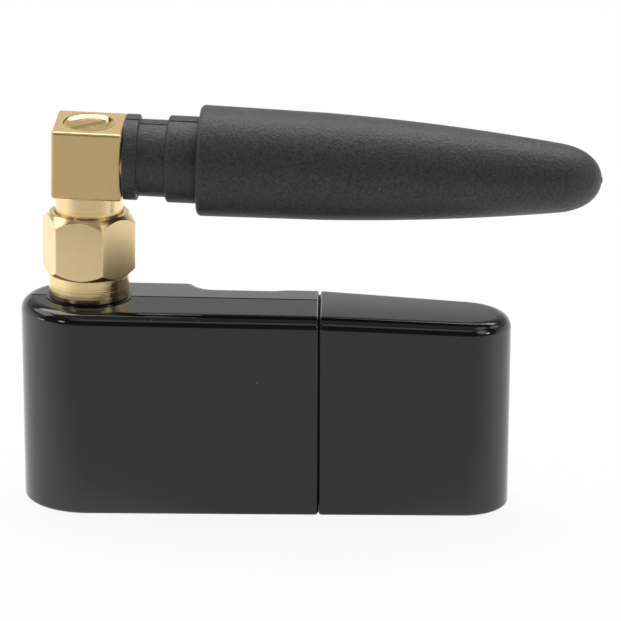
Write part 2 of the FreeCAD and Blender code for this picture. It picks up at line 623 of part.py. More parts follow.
def crystals():
    """Return the two crystals in metal cans, one below each clocked chip."""
    places = [(CONTROLLER_X, CONTROLLER_CRYSTAL_Z), (RADIO_CRYSTAL_X, RADIO_CRYSTAL_Z)]
    return [on_board(x, z, CRYSTAL_LENGTH, CRYSTAL_WIDTH, CRYSTAL_HEIGHT) for x, z in places]


def chip_row(x, z, height):
    """Return a row of small upright chips side by side."""
    first = x - (CHIPS_IN_ROW - 1) / 2 * CHIP_PITCH
    return [
        on_board(first + index * CHIP_PITCH, z, CHIP_WIDTH, CHIP_LENGTH, height)
        for index in range(CHIPS_IN_ROW)
    ]


def jack_body():
    """Return the threaded port: barrel, square flange and four legs that straddle the board."""
    barrel = rod(JACK_RADIUS, FLANGE_BASE, JACK_REACH)
    flange = block(centred(0, FLANGE_SIDE), centred(0, FLANGE_SIDE), (FLANGE_BASE, FLANGE_TOP))
    legs = []
    for x in (-LEG_SPREAD / 2, LEG_SPREAD / 2):
        for low in (BOARD_REAR_Y + SOLDER_GAP, BOARD_FRONT_Y - SOLDER_GAP - LEG_SIDE):
            legs.append(block(centred(x, LEG_SIDE), (low, low + LEG_SIDE),
                              (FLANGE_BASE - LEG_LENGTH, FLANGE_BASE)))
    body = joined([barrel, flange, *legs])
    body = body.cut(rod(JACK_BORE_RADIUS, FLANGE_BASE, JACK_REACH))
    return body.cut(rod(JACK_MOUTH_RADIUS, REFERENCE_PLANE, JACK_REACH))


def jack_insulator():
    """Return the white ring-shaped filling between the jack's body and its contact."""
    return tube(JACK_BORE_RADIUS - BORE_GAP, CONTACT_PIN_RADIUS + BORE_GAP, FLANGE_BASE, REFERENCE_PLANE)


def jack_contact():
    """Return the centre contact: a slit socket above and a solder tail on the board below."""
    contact = rod(CONTACT_PIN_RADIUS, FLANGE_BASE - SOLDER_TAIL, REFERENCE_PLANE)
    contact = contact.cut(rod(SOCKET_RADIUS, REFERENCE_PLANE - SOCKET_DEPTH, REFERENCE_PLANE))
    depth = REFERENCE_PLANE - SOCKET_SLIT_DEPTH, REFERENCE_PLANE + OVERSHOOT
    across, slit = centred(0, 4 * CONTACT_PIN_RADIUS), centred(0, SOCKET_SLIT)
    return contact.cut(block(slit, across, depth)).cut(block(across, slit, depth))


def port_ring():
    """Return the black ring that seals the port under the nut."""
    return tube(PORT_RING_RADIUS, JACK_RADIUS + PORT_HOLE_GAP, 0, PORT_RING_HEIGHT)


def corner_radius(flats):
    """Return how far a hexagon's corners lie from its middle."""
    return flats / 2 / math.cos(math.radians(30))


def hexagon(flats, base, top, turn):
    """Return a hexagonal prism about Z with one flat turned from the front."""
    corner = corner_radius(flats)
    angles = [math.radians(-90 - turn + 30 + 60 * index) for index in range(7)]
    points = [Vector(corner * math.cos(angle), corner * math.sin(angle), 0) for angle in angles]
    return upright(segments(points), base, top)


def coupling_nut():
    """Return the hexagonal nut with its sloped shoulders, skirt, thread bore and ring groove."""
    corner = corner_radius(HEX_FLATS)
    base_slope = corner - SKIRT_RADIUS
    envelope = turned(segments([
        Vector(0, 0, HEX_BASE), Vector(SKIRT_RADIUS, 0, HEX_BASE),
        Vector(corner, 0, HEX_BASE + base_slope), Vector(corner, 0, NUT_TOP - HEX_TOP_DROP),
        Vector(HEX_TOP_RADIUS, 0, NUT_TOP), Vector(0, 0, NUT_TOP), Vector(0, 0, HEX_BASE),
    ]), Z_AXIS)
    nut = hexagon(HEX_FLATS, HEX_BASE, NUT_TOP, HEX_TURN).common(envelope)
    nut = joined([nut, rod(SKIRT_RADIUS, NUT_BASE, HEX_BASE)])
    wide_from = JACK_REACH + GASKET_THICKNESS / 2
    nut = nut.cut(rod(JACK_RADIUS + RUNNING_GAP, NUT_BASE, wide_from))
    nut = nut.cut(rod(FERRULE_RADIUS + RUNNING_GAP, wide_from, NUT_TOP))
    return nut.cut(rod(GROOVE_RADIUS, RING_TOP - RING_SHEET - RING_PLAY, RING_TOP + RING_PLAY))


def snap_ring():
    """Return the split ring that holds the nut on the ferrule and lets it turn."""
    inner = FERRULE_RADIUS - RING_SEAT + RING_PLAY
    ring = tube(FERRULE_RADIUS + RING_SEAT, inner, RING_TOP - RING_SHEET, RING_TOP)
    return ring.cut(block((0, 2 * FERRULE_RADIUS), centred(0, RING_SPLIT), (0, NUT_TOP)))


def nut_gasket():
    """Return the soft washer between the jack's rim and the ferrule."""
    return tube(JACK_RADIUS - BORE_GAP, BARREL_RADIUS + BORE_GAP,
                JACK_REACH + GASKET_GAP, JACK_REACH + GASKET_GAP + GASKET_THICKNESS)


def along_arm(shape):
    """Move a shape made along X from the arm's axis into the frame of the port."""
    shape.Placement = ARM_FRAME
    return shape


def elbow_block():
    """Return the outer block of the right-angle body, with softened edges."""
    body = block((-BLOCK_HEEL, BLOCK_SIDE_X), centred(0, BLOCK_DEPTH), (-BLOCK_UNDER_ARM, BLOCK_OVER_ARM))
    return along_arm(body.makeFillet(BLOCK_ROUND, body.Edges))


def elbow_path(radius, reach=0):
    """Return the space within a radius of the centre line through the right-angle body.

    The line rises from the reference plane, leans over at the block's underside and
    turns into the arm. Its two ends can be drawn out by a reach.
    """
    upper = rod(radius, 0, BLOCK_UNDER_ARM)
    upper.Placement = LEAN_FRAME
    return joined([
        rod(radius, PIN_START - reach, BLOCK_BASE),
        Part.makeSphere(radius, LEAN_FRAME.Base),
        upper,
        Part.makeSphere(radius, ARM_FRAME.Base),
        along_arm(rod(radius, 0, ARM_BARREL_END_X + reach, X_AXIS)),
    ])


def elbow_body():
    """Return the right-angle body: barrel, grooved ferrule, block and side barrel, all bored."""
    ferrule = rod(FERRULE_RADIUS, FERRULE_BASE, FERRULE_TOP)
    ferrule = ferrule.cut(tube(2 * FERRULE_RADIUS, FERRULE_RADIUS - RING_SEAT,
                               RING_TOP - RING_SHEET - RING_PLAY, RING_TOP + RING_PLAY))
    barrel = rod(BARREL_RADIUS, PIN_START, FERRULE_BASE)
    boss = along_arm(rod(BOSS_RADIUS, 0, COLLAR_X, X_AXIS))
    side_barrel = along_arm(rod(ARM_BARREL_RADIUS, 0, ARM_BARREL_END_X, X_AXIS))
    body = joined([elbow_block(), ferrule, barrel, boss, side_barrel])
    access_hole = along_arm(rod(JACK_BORE_RADIUS, 0, BLOCK_OVER_ARM))
    return body.cut(elbow_path(JACK_BORE_RADIUS, OVERSHOOT)).cut(access_hole).cut(cover_seat())


def cover_seat():
    """Return the round recess in the block's top that takes the cover."""
    floor = BLOCK_OVER_ARM - COVER_RECESS - COVER_THICKNESS
    seat = rod(COVER_RADIUS + COVER_GAP, floor, BLOCK_OVER_ARM + OVERSHOOT)
    return along_arm(seat.translated(X_AXIS * BLOCK_MIDDLE_X))


def elbow_cover():
    """Return the slotted round cover that closes the block's access hole."""
    top = BLOCK_OVER_ARM - COVER_RECESS
    cover = rod(COVER_RADIUS, top - COVER_THICKNESS, top)
    slot = block(centred(0, 3 * COVER_RADIUS), centred(0, COVER_SLOT_WIDTH),
                 (top - COVER_SLOT_DEPTH, top + OVERSHOOT))
    slot.rotate(Vector(0, 0, 0), Z_AXIS, COVER_SLOT_TURN)
    return along_arm(cover.cut(slot).translated(X_AXIS * BLOCK_MIDDLE_X))


def elbow_pin():
    """Return the antenna's centre pin, which turns the corner inside the block."""
    tip = rod(PIN_TIP_RADIUS, REFERENCE_PLANE - PIN_TIP_REACH, PIN_START)
    return joined([elbow_path(CONTACT_PIN_RADIUS), tip])


def elbow_insulator():
    """Return the filling round the centre pin in both legs of the right-angle body."""
    filling = elbow_path(JACK_BORE_RADIUS - BORE_GAP)
    return filling.cut(elbow_path(CONTACT_PIN_RADIUS + BORE_GAP, OVERSHOOT))


def antenna_base():
    """Return the black foot of the antenna: collar, neck, shoulder and the spigot in the sleeve."""
    outline = segments([
        Vector(COLLAR_X, 0, 0), Vector(COLLAR_X, 0, COLLAR_RADIUS),
        Vector(NECK_X - COLLAR_BEVEL, 0, COLLAR_RADIUS), Vector(NECK_X, 0, COLLAR_RADIUS - COLLAR_BEVEL),
        Vector(NECK_X, 0, NECK_RADIUS), Vector(SHOULDER_X, 0, NECK_RADIUS),
        Vector(SHOULDER_X, 0, SHOULDER_RADIUS - SHOULDER_ROUND),
    ])
    bend = SHOULDER_ROUND * (1 - math.sqrt(0.5))
    outline.append(Part.Arc(
        Vector(SHOULDER_X, 0, SHOULDER_RADIUS - SHOULDER_ROUND),
        Vector(SHOULDER_X + bend, 0, SHOULDER_RADIUS - bend),
        Vector(SHOULDER_X + SHOULDER_ROUND, 0, SHOULDER_RADIUS)).toShape())
    outline += segments([
        Vector(SHOULDER_X + SHOULDER_ROUND, 0, SHOULDER_RADIUS), Vector(SLEEVE_X, 0, SHOULDER_RADIUS),
        Vector(SLEEVE_X, 0, SPIGOT_RADIUS), Vector(SPIGOT_END_X, 0, SPIGOT_RADIUS),
        Vector(SPIGOT_END_X, 0, 0), Vector(COLLAR_X, 0, 0),
    ])
    foot = turned(outline)
    foot = foot.cut(rod(ARM_BARREL_RADIUS + BORE_GAP, COLLAR_X, ARM_BARREL_END_X + BORE_GAP, X_AXIS))
    return along_arm(foot.cut(rod(CABLE_RADIUS + BORE_GAP, COLLAR_X, SPIGOT_END_X, X_AXIS)))


def sleeve_side(inset):
    """Return the sleeve's side as edges from its start to its tip, drawn in by a wall."""
    straight_end = Vector(SLEEVE_X + SLEEVE_STRAIGHT_LENGTH, 0, SLEEVE_STRAIGHT_RADIUS - inset)
    nose_start = Vector(SLEEVE_TIP_X - NOSE_LENGTH, 0, SLEEVE_SHOULDER_RADIUS - inset)
    middle_x = (straight_end.x + nose_start.x) / 2
    flank = Part.Arc(straight_end, Vector(middle_x, 0, SLEEVE_MIDDLE_RADIUS - inset), nose_start)
    along = flank.toShape().tangentAt(flank.toShape().LastParameter)
    tip = Vector(SLEEVE_TIP_X - inset, 0, 0)
    nose = Part.BezierCurve()
    nose.setPoles([
        nose_start, nose_start + along * ((tip.x - nose_start.x) * NOSE_FULLNESS),
        tip + Z_AXIS * (nose_start.z * TIP_FULLNESS), tip,
    ])
    return straight_end, [flank.toShape(), nose.toShape()]


def antenna_sleeve():
    """Return the black tapered sleeve, hollow inside and open towards the foot."""
    straight_end, side = sleeve_side(0)
    slope = (SLEEVE_STRAIGHT_RADIUS - SLEEVE_START_RADIUS) / SLEEVE_STRAIGHT_LENGTH
    lead_in = Vector(SLEEVE_X + SLEEVE_START_ROUND, 0, SLEEVE_START_RADIUS + slope * SLEEVE_START_ROUND)
    low_start = Vector(SLEEVE_X, 0, SLEEVE_START_RADIUS - SLEEVE_START_ROUND)
    bend = SLEEVE_START_ROUND * (1 - math.sqrt(0.5))
    start_round = Part.Arc(low_start, Vector(SLEEVE_X + bend, 0, SLEEVE_START_RADIUS - bend), lead_in)
    outline = [start_round.toShape(), Part.makeLine(lead_in, straight_end), *side]
    outline += segments([Vector(SLEEVE_TIP_X, 0, 0), Vector(SLEEVE_X, 0, 0), low_start])
    inner_end, inner_side = sleeve_side(SLEEVE_WALL)
    hollow = inner_side + segments([
        Vector(SLEEVE_TIP_X - SLEEVE_WALL, 0, 0), Vector(SLEEVE_X, 0, 0),
        Vector(SLEEVE_X, 0, inner_end.z), inner_end,
    ])
    mouth = rod(SPIGOT_RADIUS + SLEEVE_GAP, SLEEVE_X, SPIGOT_END_X, X_AXIS)
    return along_arm(turned(outline).cut(turned(hollow)).cut(mouth))


def feed_cable():
    """Return the thin screened cable that runs from the elbow to the radiator."""
    return along_arm(rod(CABLE_RADIUS, ARM_BARREL_END_X + BORE_GAP, RADIATOR_END_X, X_AXIS))


def radiator_tube():
    """Return the brass tube that closes round the cable at its far end."""
    outside = rod(RADIATOR_RADIUS, RADIATOR_X, RADIATOR_END_X, X_AXIS)
    hollow = rod(RADIATOR_RADIUS - RADIATOR_SHEET, RADIATOR_X, RADIATOR_END_X - RADIATOR_SHEET, X_AXIS)
    passage = rod(CABLE_RADIUS + BORE_GAP, RADIATOR_X, RADIATOR_END_X, X_AXIS)
    return along_arm(outside.cut(hollow).cut(passage))


def radiator_wire():
    """Return the bare end of the cable's core, which stands out beyond the tube."""
    return along_arm(rod(WIRE_RADIUS, RADIATOR_END_X, WIRE_END_X, X_AXIS))


def at_port(shape):
    """Move a shape made about Z from the port into the frame of the stick."""
    shape.Placement = PORT_FRAME.multiply(shape.Placement)
    return shape


def board_parts():
    """Return every piece of the circuit by node name."""
    contacts = plug_contacts()
    regulator = on_board(REGULATOR_X, BOARD_MIDDLE_Z, REGULATOR_WIDTH, REGULATOR_LENGTH, REGULATOR_HEIGHT)
    resistors = [in_front(chip) for chip in chip_row(CONTROLLER_X, BOARD_MIDDLE_Z, RESISTOR_HEIGHT)]
    return {
        "circuit_board": circuit_board(),
        "usb_plug_shell": plug_shell(),
        "usb_plug_insert": plug_insert(contacts),
        "usb_contacts": Part.makeCompound(contacts),
        "microcontroller": microcontroller(),
        "radio_chip": on_board(0, RADIO_Z, RADIO_SIDE, RADIO_SIDE, RADIO_HEIGHT),
        "radio_amplifier": on_board(0, AMPLIFIER_Z, AMPLIFIER_SIDE, AMPLIFIER_SIDE, RADIO_HEIGHT),
        "board_crystals": Part.makeCompound(crystals()),
        "voltage_regulator": regulator,
        "board_capacitors": Part.makeCompound(chip_row(CONTROLLER_X, CAPACITORS_Z, CAPACITOR_HEIGHT)),
        "board_resistors": Part.makeCompound(resistors),
    }


def port_parts():
    """Return every piece of the port, the nut and the antenna by node name."""
    pieces = {
        "jack_body": jack_body(),
        "jack_insulator": jack_insulator(),
        "jack_contact": jack_contact(),
        "port_ring": port_ring(),
        "coupling_nut": coupling_nut(),
        "snap_ring": snap_ring(),
        "nut_gasket": nut_gasket(),
        "elbow_body": elbow_body(),
        "elbow_cover": elbow_cover(),
        "elbow_insulator": elbow_insulator(),
        "elbow_pin": elbow_pin(),
        "antenna_base": antenna_base(),
        "antenna_sleeve": antenna_sleeve(),
        "feed_cable": feed_cable(),
        "radiator_tube": radiator_tube(),
        "radiator_wire": radiator_wire(),
    }
    return {name: at_port(shape) for name, shape in pieces.items()}


def main():
    """Build every piece and write each to its own file."""
    os.makedirs("parts", exist_ok=True)
    nodes = {"front_shell": front_shell(), "rear_shell": rear_shell(), "usb_cap": usb_cap()}
    nodes.update(board_parts())
    nodes.update(port_parts())
    for name, shape in nodes.items():
        shape.exportStep(os.path.join("parts", name + ".step"))
        print(name, len(shape.Solids), round(shape.Volume, 3), shape.isValid())


main()
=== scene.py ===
"""Studio scene of a glossy black lighting-control stick with a screwed-on stub antenna.

The stick stands on its long edge. Lengths are in millimetres and angles in degrees,
unless a name says otherwise; meshes are written in metres, in the frame of the part.
"""
import json
import logging
import math
from dataclasses import dataclass, field
from enum import Enum
from typing import Iterable, Sequence

import bmesh
import bpy
from mathutils import Matrix, Vector


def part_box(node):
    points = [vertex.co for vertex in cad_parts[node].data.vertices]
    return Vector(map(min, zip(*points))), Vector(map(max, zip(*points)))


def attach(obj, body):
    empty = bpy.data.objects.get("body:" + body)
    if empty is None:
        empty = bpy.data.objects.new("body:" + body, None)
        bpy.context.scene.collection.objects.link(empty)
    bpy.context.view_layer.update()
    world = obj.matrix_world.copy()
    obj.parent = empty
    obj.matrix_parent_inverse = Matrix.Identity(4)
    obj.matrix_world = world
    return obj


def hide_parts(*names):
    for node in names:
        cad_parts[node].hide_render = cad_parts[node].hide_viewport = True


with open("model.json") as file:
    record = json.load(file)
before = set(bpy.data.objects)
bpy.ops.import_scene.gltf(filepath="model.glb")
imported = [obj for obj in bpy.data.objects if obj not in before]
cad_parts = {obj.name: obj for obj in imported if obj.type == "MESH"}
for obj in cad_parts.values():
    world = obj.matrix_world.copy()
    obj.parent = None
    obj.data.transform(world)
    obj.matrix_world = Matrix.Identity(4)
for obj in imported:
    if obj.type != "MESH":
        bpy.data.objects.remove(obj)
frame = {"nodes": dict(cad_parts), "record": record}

LOG = logging.getLogger("stick")
MM = 0.001
WELD = 1e-7
ON_AXIS = 1e-6
UP = Vector((0, 0, 1))
Colour = tuple[float, float, float]
Profile = list[tuple[float, float]]
Socket = bpy.types.NodeSocket


class Body(Enum):
    """Bodies of the part that a piece can ride on."""

    STICK = "stick"
    CAP = "cap"
    RING = "ring"
    NUT = "nut"
    ANTENNA = "antenna"


class Slot(Enum):
    """Material slots of the part's record."""

    HOUSING = "housing"
    ANTENNA = "antenna_plastic"
    GOLD_PLATE = "gold_plate"
    GOLD_CONTACT = "gold_contact"
    PLUG_STEEL = "plug_steel"
    PLUG_MOULDING = "plug_moulding"
    BOARD = "board"
    CHIP = "chip_black"
    CAN = "can_steel"
    CERAMIC = "ceramic"
    RESISTOR = "resistor_black"
    INSULATOR = "white_insulator"
    RUBBER = "black_rubber"
    JACKET = "cable_jacket"
    COPPER = "copper"


class Axis(Enum):
    """Axis about which an outline is turned."""

    ARM = "X"
    PORT = "Z"


# Places


def moved(x: float, y: float, z: float) -> Matrix:
    """Return the move by an offset."""
    return Matrix.Translation((x * MM, y * MM, z * MM))


def turned(angle: float, axis: str) -> Matrix:
    """Return the turn by an angle about one of the axes."""
    return Matrix.Rotation(math.radians(angle), 4, axis)


def towards(azimuth: float, elevation: float) -> Vector:
    """Find a direction of the studio.

    Args:
        azimuth: 0 behind the part and 90 on its right.
        elevation: Height over the horizon.

    Returns:
        The direction, with a length of one.
    """
    turn, lift = math.radians(azimuth), math.radians(elevation)
    level = math.cos(lift)
    return Vector((math.sin(turn) * level, math.cos(turn) * level, math.sin(lift)))


def linked(name: str, data: bpy.types.ID) -> bpy.types.Object:
    """Add an object to the scene.

    Args:
        name: Its name.
        data: The mesh, light or camera that it holds.

    Returns:
        The object.
    """
    made = bpy.data.objects.new(name, data)
    bpy.context.scene.collection.objects.link(made)
    return made


@dataclass(frozen=True)
class PortPlaces:
    """Frames of the antenna port and of the arm that leans out of it.

    The port's own place and tilt come from the joint about which the nut turns.
    """

    block_base: float = 10.65
    block_lean: float = 6.0
    arm_rise: float = 3.47
    arm_swivel: float = -2.0
    arm_droop: float = 1.1

    def port(self) -> Matrix:
        """Find the port.

        Returns:
            The frame whose Z is the port's axis, with its origin on the housing's top.
        """
        joints = {joint["name"]: joint for joint in frame["record"]["behaviour"]["joints"]}
        turn = joints["nut_turn"]
        x, _, z = turn["axis"]
        return Matrix.Translation(turn["pos_m"]) @ Matrix.Rotation(math.atan2(x, z), 4, "Y")

    def block(self) -> Matrix:
        """Return the frame of the block, with its origin in the block's underside."""
        return self.port() @ moved(0, 0, self.block_base) @ turned(self.block_lean, "X")

    def arm(self) -> Matrix:
        """Return the frame whose X is the arm's axis, with its origin above the port."""
        raised = self.block() @ moved(0, 0, self.arm_rise)
        return raised @ turned(self.arm_swivel, "Z") @ turned(self.arm_droop, "Y")


@dataclass(frozen=True)
class NutForm:
    """Outer form of the coupling nut, with heights over the housing's top."""

    hex_base: float = 2.39
    top: float = 8.49
    flats: float = 8.0
    rim: float = 3.79
    drop: float = 0.94
    skirt: float = 3.88

    @property
    def corner(self) -> float:
        """Distance of the hexagon's sharp corners from the axis."""
        return self.flats / 2 / math.cos(math.radians(30))

    @property
    def slope(self) -> float:
        """Fall of the nut's turned top for each millimetre outwards."""
        return self.drop / (self.corner - self.rim)


# Meshes


def rounded_outline(points: Sequence[tuple[float, float, float]], steps: int = 4) -> Profile:
    """Round the corners of an outline.

    Args:
        points: Corner places and the radius of each corner, as (along, across, radius).
        steps: Number of edges on each rounded corner.

    Returns:
        The outline with an arc in place of each corner that has a radius.
    """
    outline: Profile = []
    count = len(points)
    for index, (x, y, radius) in enumerate(points):
        if radius <= 0:
            outline.append((x, y))
            continue
        corner = Vector((x, y))
        before = (Vector(points[index - 1][:2]) - corner).normalized()
        after = (Vector(points[(index + 1) % count][:2]) - corner).normalized()
        half = before.angle(after) / 2
        start = corner + before * (radius / math.tan(half))
        end = corner + after * (radius / math.tan(half))
        centre = corner + (before + after).normalized() * (radius / math.sin(half))
        for step in range(steps + 1):
            mix = start.lerp(end, step / steps) - centre
            outline.append(tuple(centre + mix.normalized() * radius))
    return outline


@dataclass(frozen=True)
class MouldLine:
    """Fine groove that the two halves of a mould leave along a turned piece."""

    angles: tuple[float, ...] = (100.0, 280.0)
    width: float = 0.2
    depth: float = 0.09
    measured_at: float = 4.0
    least_radius: float = 3.5
    floor_share: float = 0.4
    margin_share: float = 1.3

    @property
    def half_turn(self) -> float:
        """Half the groove's width as an angle."""
        return math.degrees(self.width / 2 / self.measured_at)

    def _off(self, angle: float) -> float:
        """Return how far a direction lies from the nearest groove."""
        return min(abs((angle - groove + 180) % 360 - 180) for groove in self.angles)

    def stations(self, steps: int) -> list[float]:
        """Return the directions of a ring's points.

        Args:
            steps: Number of evenly spaced directions before the grooves are added.

        Returns:
            Evenly spaced directions, with a denser set across each groove.
        """
        plain = [360 * index / steps for index in range(steps)]
        kept = [angle for angle in plain if self._off(angle) > self.margin_share * self.half_turn]
        shares = (-1, -self.floor_share, self.floor_share, 1)
        across = [groove + self.half_turn * share for groove in self.angles for share in shares]
        return sorted(kept + across)

    def cut(self, radius: float, angle: float) -> float:
        """Cut the groove into one point of a ring.

        Args:
            radius: Radius of the ring.
            angle: Direction of the point.

        Returns:
            The radius that is left there.
        """
        off = self._off(angle)
        if radius < self.least_radius or off > self.half_turn:
            return radius
        return radius - self.depth * min(1.0, (1 - off / self.half_turn) / (1 - self.floor_share))


class MeshMaker:
    """Builds closed meshes from rings of points."""

    def __init__(self, place: Matrix) -> None:
        """Start an empty mesh whose points are placed by a frame."""
        self.place = place
        self.bm = bmesh.new()

    def _ring(self, points: Iterable[Vector]) -> list[bmesh.types.BMVert]:
        """Add one vertex for each point and return them."""
        return [self.bm.verts.new(self.place @ (point * MM)) for point in points]

    def loft(self, rings: Sequence[Sequence[Vector]],
             closed: bool) -> list[list[bmesh.types.BMVert]]:
        """Join rings of equally many points, each to the next.

        Args:
            rings: The rings in turn; a ring of one point is a pole.
            closed: Whether the last ring is joined to the first.

        Returns:
            The vertices of each ring.
        """
        made = [self._ring(ring) for ring in rings]
        pairs = list(zip(made, made[1:]))
        if closed:
            pairs.append((made[-1], made[0]))
        for low, high in pairs:
            count = max(len(low), len(high))
            for index in range(count):
                corners = [
                    low[index % len(low)], low[(index + 1) % len(low)],
                    high[(index + 1) % len(high)], high[index % len(high)],
                ]
                unique = list(dict.fromkeys(corners))
                if len(unique) > 2:
                    self.bm.faces.new(unique)
        return made

    def lathe(self, outline: Profile, axis: Axis, steps: int = 96,
              line: MouldLine | None = None) -> None:
        """Turn an outline of (along, radius) points about an axis.

        Args:
            outline: A closed loop clear of the axis, or a line that starts and ends on it.
            axis: The axis of the place about which it turns.
            steps: Number of points round each ring.
            line: The groove to cut along the piece, if it has one.
        """
        around = line.stations(steps) if line else [360 * index / steps for index in range(steps)]
        rings = []
        for along, radius in outline:
            ring = []
            for angle in around if radius > ON_AXIS else around[:1]:
                reach = line.cut(radius, angle) if line else radius
                turn = math.radians(angle)
                across = (reach * math.cos(turn), reach * math.sin(turn))
                ring.append(Vector((along, *across) if axis is Axis.ARM else (*across, along)))
            rings.append(ring)
        self.loft(rings, closed=outline[0][1] > ON_AXIS)

    def box(self, low: Vector, high: Vector, bevel: float) -> None:
        """Add a box with every edge bevelled.

        Args:
            low: Its lowest corner.
            high: Its highest corner.
            bevel: Width of the bevels.
        """
        around = ((low.x, low.y), (high.x, low.y), (high.x, high.y), (low.x, high.y))
        side = MeshMaker(self.place)
        levels = [[Vector((x, y, z)) for x, y in around] for z in (low.z, high.z)]
        for ring in side.loft(levels, closed=False):
            side.bm.faces.new(ring)
        bmesh.ops.recalc_face_normals(side.bm, faces=side.bm.faces)
        bmesh.ops.bevel(side.bm, geom=list(side.bm.edges), offset=bevel * MM, segments=2,
                        profile=0.5, affect="EDGES")
        mesh = bpy.data.meshes.new("side")
        side.bm.to_mesh(mesh)
        side.bm.free()
        self.add_mesh(mesh)
        bpy.data.meshes.remove(mesh)

    def add_mesh(self, mesh: bpy.types.Mesh) -> None:
        """Add a copy of a mesh that is already in its place."""
        self.bm.from_mesh(mesh)

    def finish(self, name: str, sharp_angle: float = 30.0) -> bpy.types.Object:
        """Turn what was added into an object with outward faces and smooth shading.

        Args:
            name: Name of the object.
            sharp_angle: Edges that turn by more than this are shaded as sharp.

        Returns:
            The object, linked to the scene, with its place in its mesh.
        """
        bmesh.ops.remove_doubles(self.bm, verts=self.bm.verts, dist=WELD)
        bmesh.ops.recalc_face_normals(self.bm, faces=self.bm.faces)
        mesh = bpy.data.meshes.new(name)
        self.bm.to_mesh(mesh)
        self.bm.free()
        mesh.shade_smooth()
        mesh.set_sharp_from_angle(angle=math.radians(sharp_angle))
        return linked(name, mesh)


# Node trees


class Wiring:
    """A node tree with short ways to add nodes, feed them and reckon with them."""

    def __init__(self, tree: bpy.types.NodeTree) -> None:
        """Work in a tree."""
        self.tree = tree

    def feed(self, target: Socket, value: object) -> None:
        """Feed an input.

        Args:
            target: The input.
            value: A socket to link to it, or the number, vector or colour to set it to.
        """
        if isinstance(value, bpy.types.NodeSocket):
            self.tree.links.new(value, target)
        else:
            target.default_value = value

    def node(self, kind: str, given: dict[str | int, object] | None = None,
             **settings: object) -> bpy.types.Node:
        """Add a node.

        Args:
            kind: Blender's name for the kind of node.
            given: What feeds its inputs, by their names or places.
            **settings: Its properties.

        Returns:
            The node.
        """
        made = self.tree.nodes.new(kind)
        for key, value in settings.items():
            setattr(made, key, value)
        for key, value in (given or {}).items():
            self.feed(made.inputs[key], value)
        return made

    def reckon(self, operation: str, *values: object) -> Socket:
        """Return the result of a sum on sockets or numbers."""
        return self.node("ShaderNodeMath", dict(enumerate(values)), operation=operation).outputs[0]

    def vector(self, operation: str, *values: object) -> bpy.types.Node:
        """Return a node that works on vector sockets or fixed vectors."""
        return self.node("ShaderNodeVectorMath", dict(enumerate(values)), operation=operation)

    def dot(self, vector: Socket, other: Vector) -> Socket:
        """Return the dot product of a vector socket and a fixed vector."""
        return self.vector("DOT_PRODUCT", vector, other).outputs["Value"]


class Shader(Wiring):
    """A material's node tree round its Principled shader, in Object coordinates in millimetres."""

    def __init__(self, name: str, metallic: float = 0.0) -> None:
        """Start a material.

        Args:
            name: Its name.
            metallic: 1 for a metal.
        """
        self.material = bpy.data.materials.new(name)
        self.material.use_nodes = True
        super().__init__(self.material.node_tree)
        self.surface = self.tree.nodes["Principled BSDF"]
        self.surface.inputs["Metallic"].default_value = metallic
        where = self.node("ShaderNodeTexCoord").outputs["Object"]
        scale = (1 / MM, 1 / MM, 1 / MM)
        scaled = self.node("ShaderNodeMapping", {"Vector": where, "Scale": scale})
        self.place = scaled.outputs["Vector"]

    def coat(self, colour: Socket, roughness: Socket) -> None:
        """Feed the surface's colour and roughness."""
        self.feed(self.surface.inputs["Base Color"], colour)
        self.feed(self.surface.inputs["Roughness"], roughness)

    def mixed(self, mask: Socket, first: Socket | Colour, second: Colour) -> Socket:
        """Mix two colours by a mask.

        Args:
            mask: 0 for the first colour and 1 for the second.
            first: A colour, or a socket that gives one.
            second: The other colour.

        Returns:
            The mixed colour.
        """
        base = first if isinstance(first, bpy.types.NodeSocket) else (*first, 1)
        given = {"Factor": mask, 6: base, 7: (*second, 1)}
        return self.node("ShaderNodeMix", given, data_type="RGBA").outputs[2]

    def spread(self, value: Socket, low: float, high: float) -> Socket:
        """Map a value of 0 to 1 onto a range."""
        given = {"Value": value, "To Min": low, "To Max": high}
        return self.node("ShaderNodeMapRange", given).outputs["Result"]

    def bump(self, height: Socket, depth: float) -> None:
        """Raise the surface by a height map, over the bumps made before.

        Args:
            height: The height, from 0 to 1.
            depth: What a height of 1 stands for, in millimetres.
        """
        normal = self.surface.inputs["Normal"]
        given: dict[str | int, object] = {"Strength": 1.0, "Distance": depth * MM, "Height": height}
        if normal.links:
            given["Normal"] = normal.links[0].from_socket
        self.feed(normal, self.node("ShaderNodeBump", given).outputs["Normal"])


class GroupTree(Wiring):
    """Shader node group with a place and numbers as inputs, and one number as output."""

    def __init__(self, name: str, values: dict[str, float], output: str) -> None:
        """Start a group.

        Args:
            name: Its name.
            values: Its number inputs with their defaults.
            output: Name of its output.
        """
        super().__init__(bpy.data.node_groups.new(name, "ShaderNodeTree"))
        add = self.tree.interface.new_socket
        add("Place", in_out="INPUT", socket_type="NodeSocketVector")
        for key, value in values.items():
            add(key, in_out="INPUT", socket_type="NodeSocketFloat").default_value = value
        add(output, in_out="OUTPUT", socket_type="NodeSocketFloat")
        self.given = self.node("NodeGroupInput").outputs

    def finish(self, result: Socket) -> bpy.types.NodeTree:
        """Put out the result and return the group's tree."""
        self.node("NodeGroupOutput", {0: result})
        return self.tree


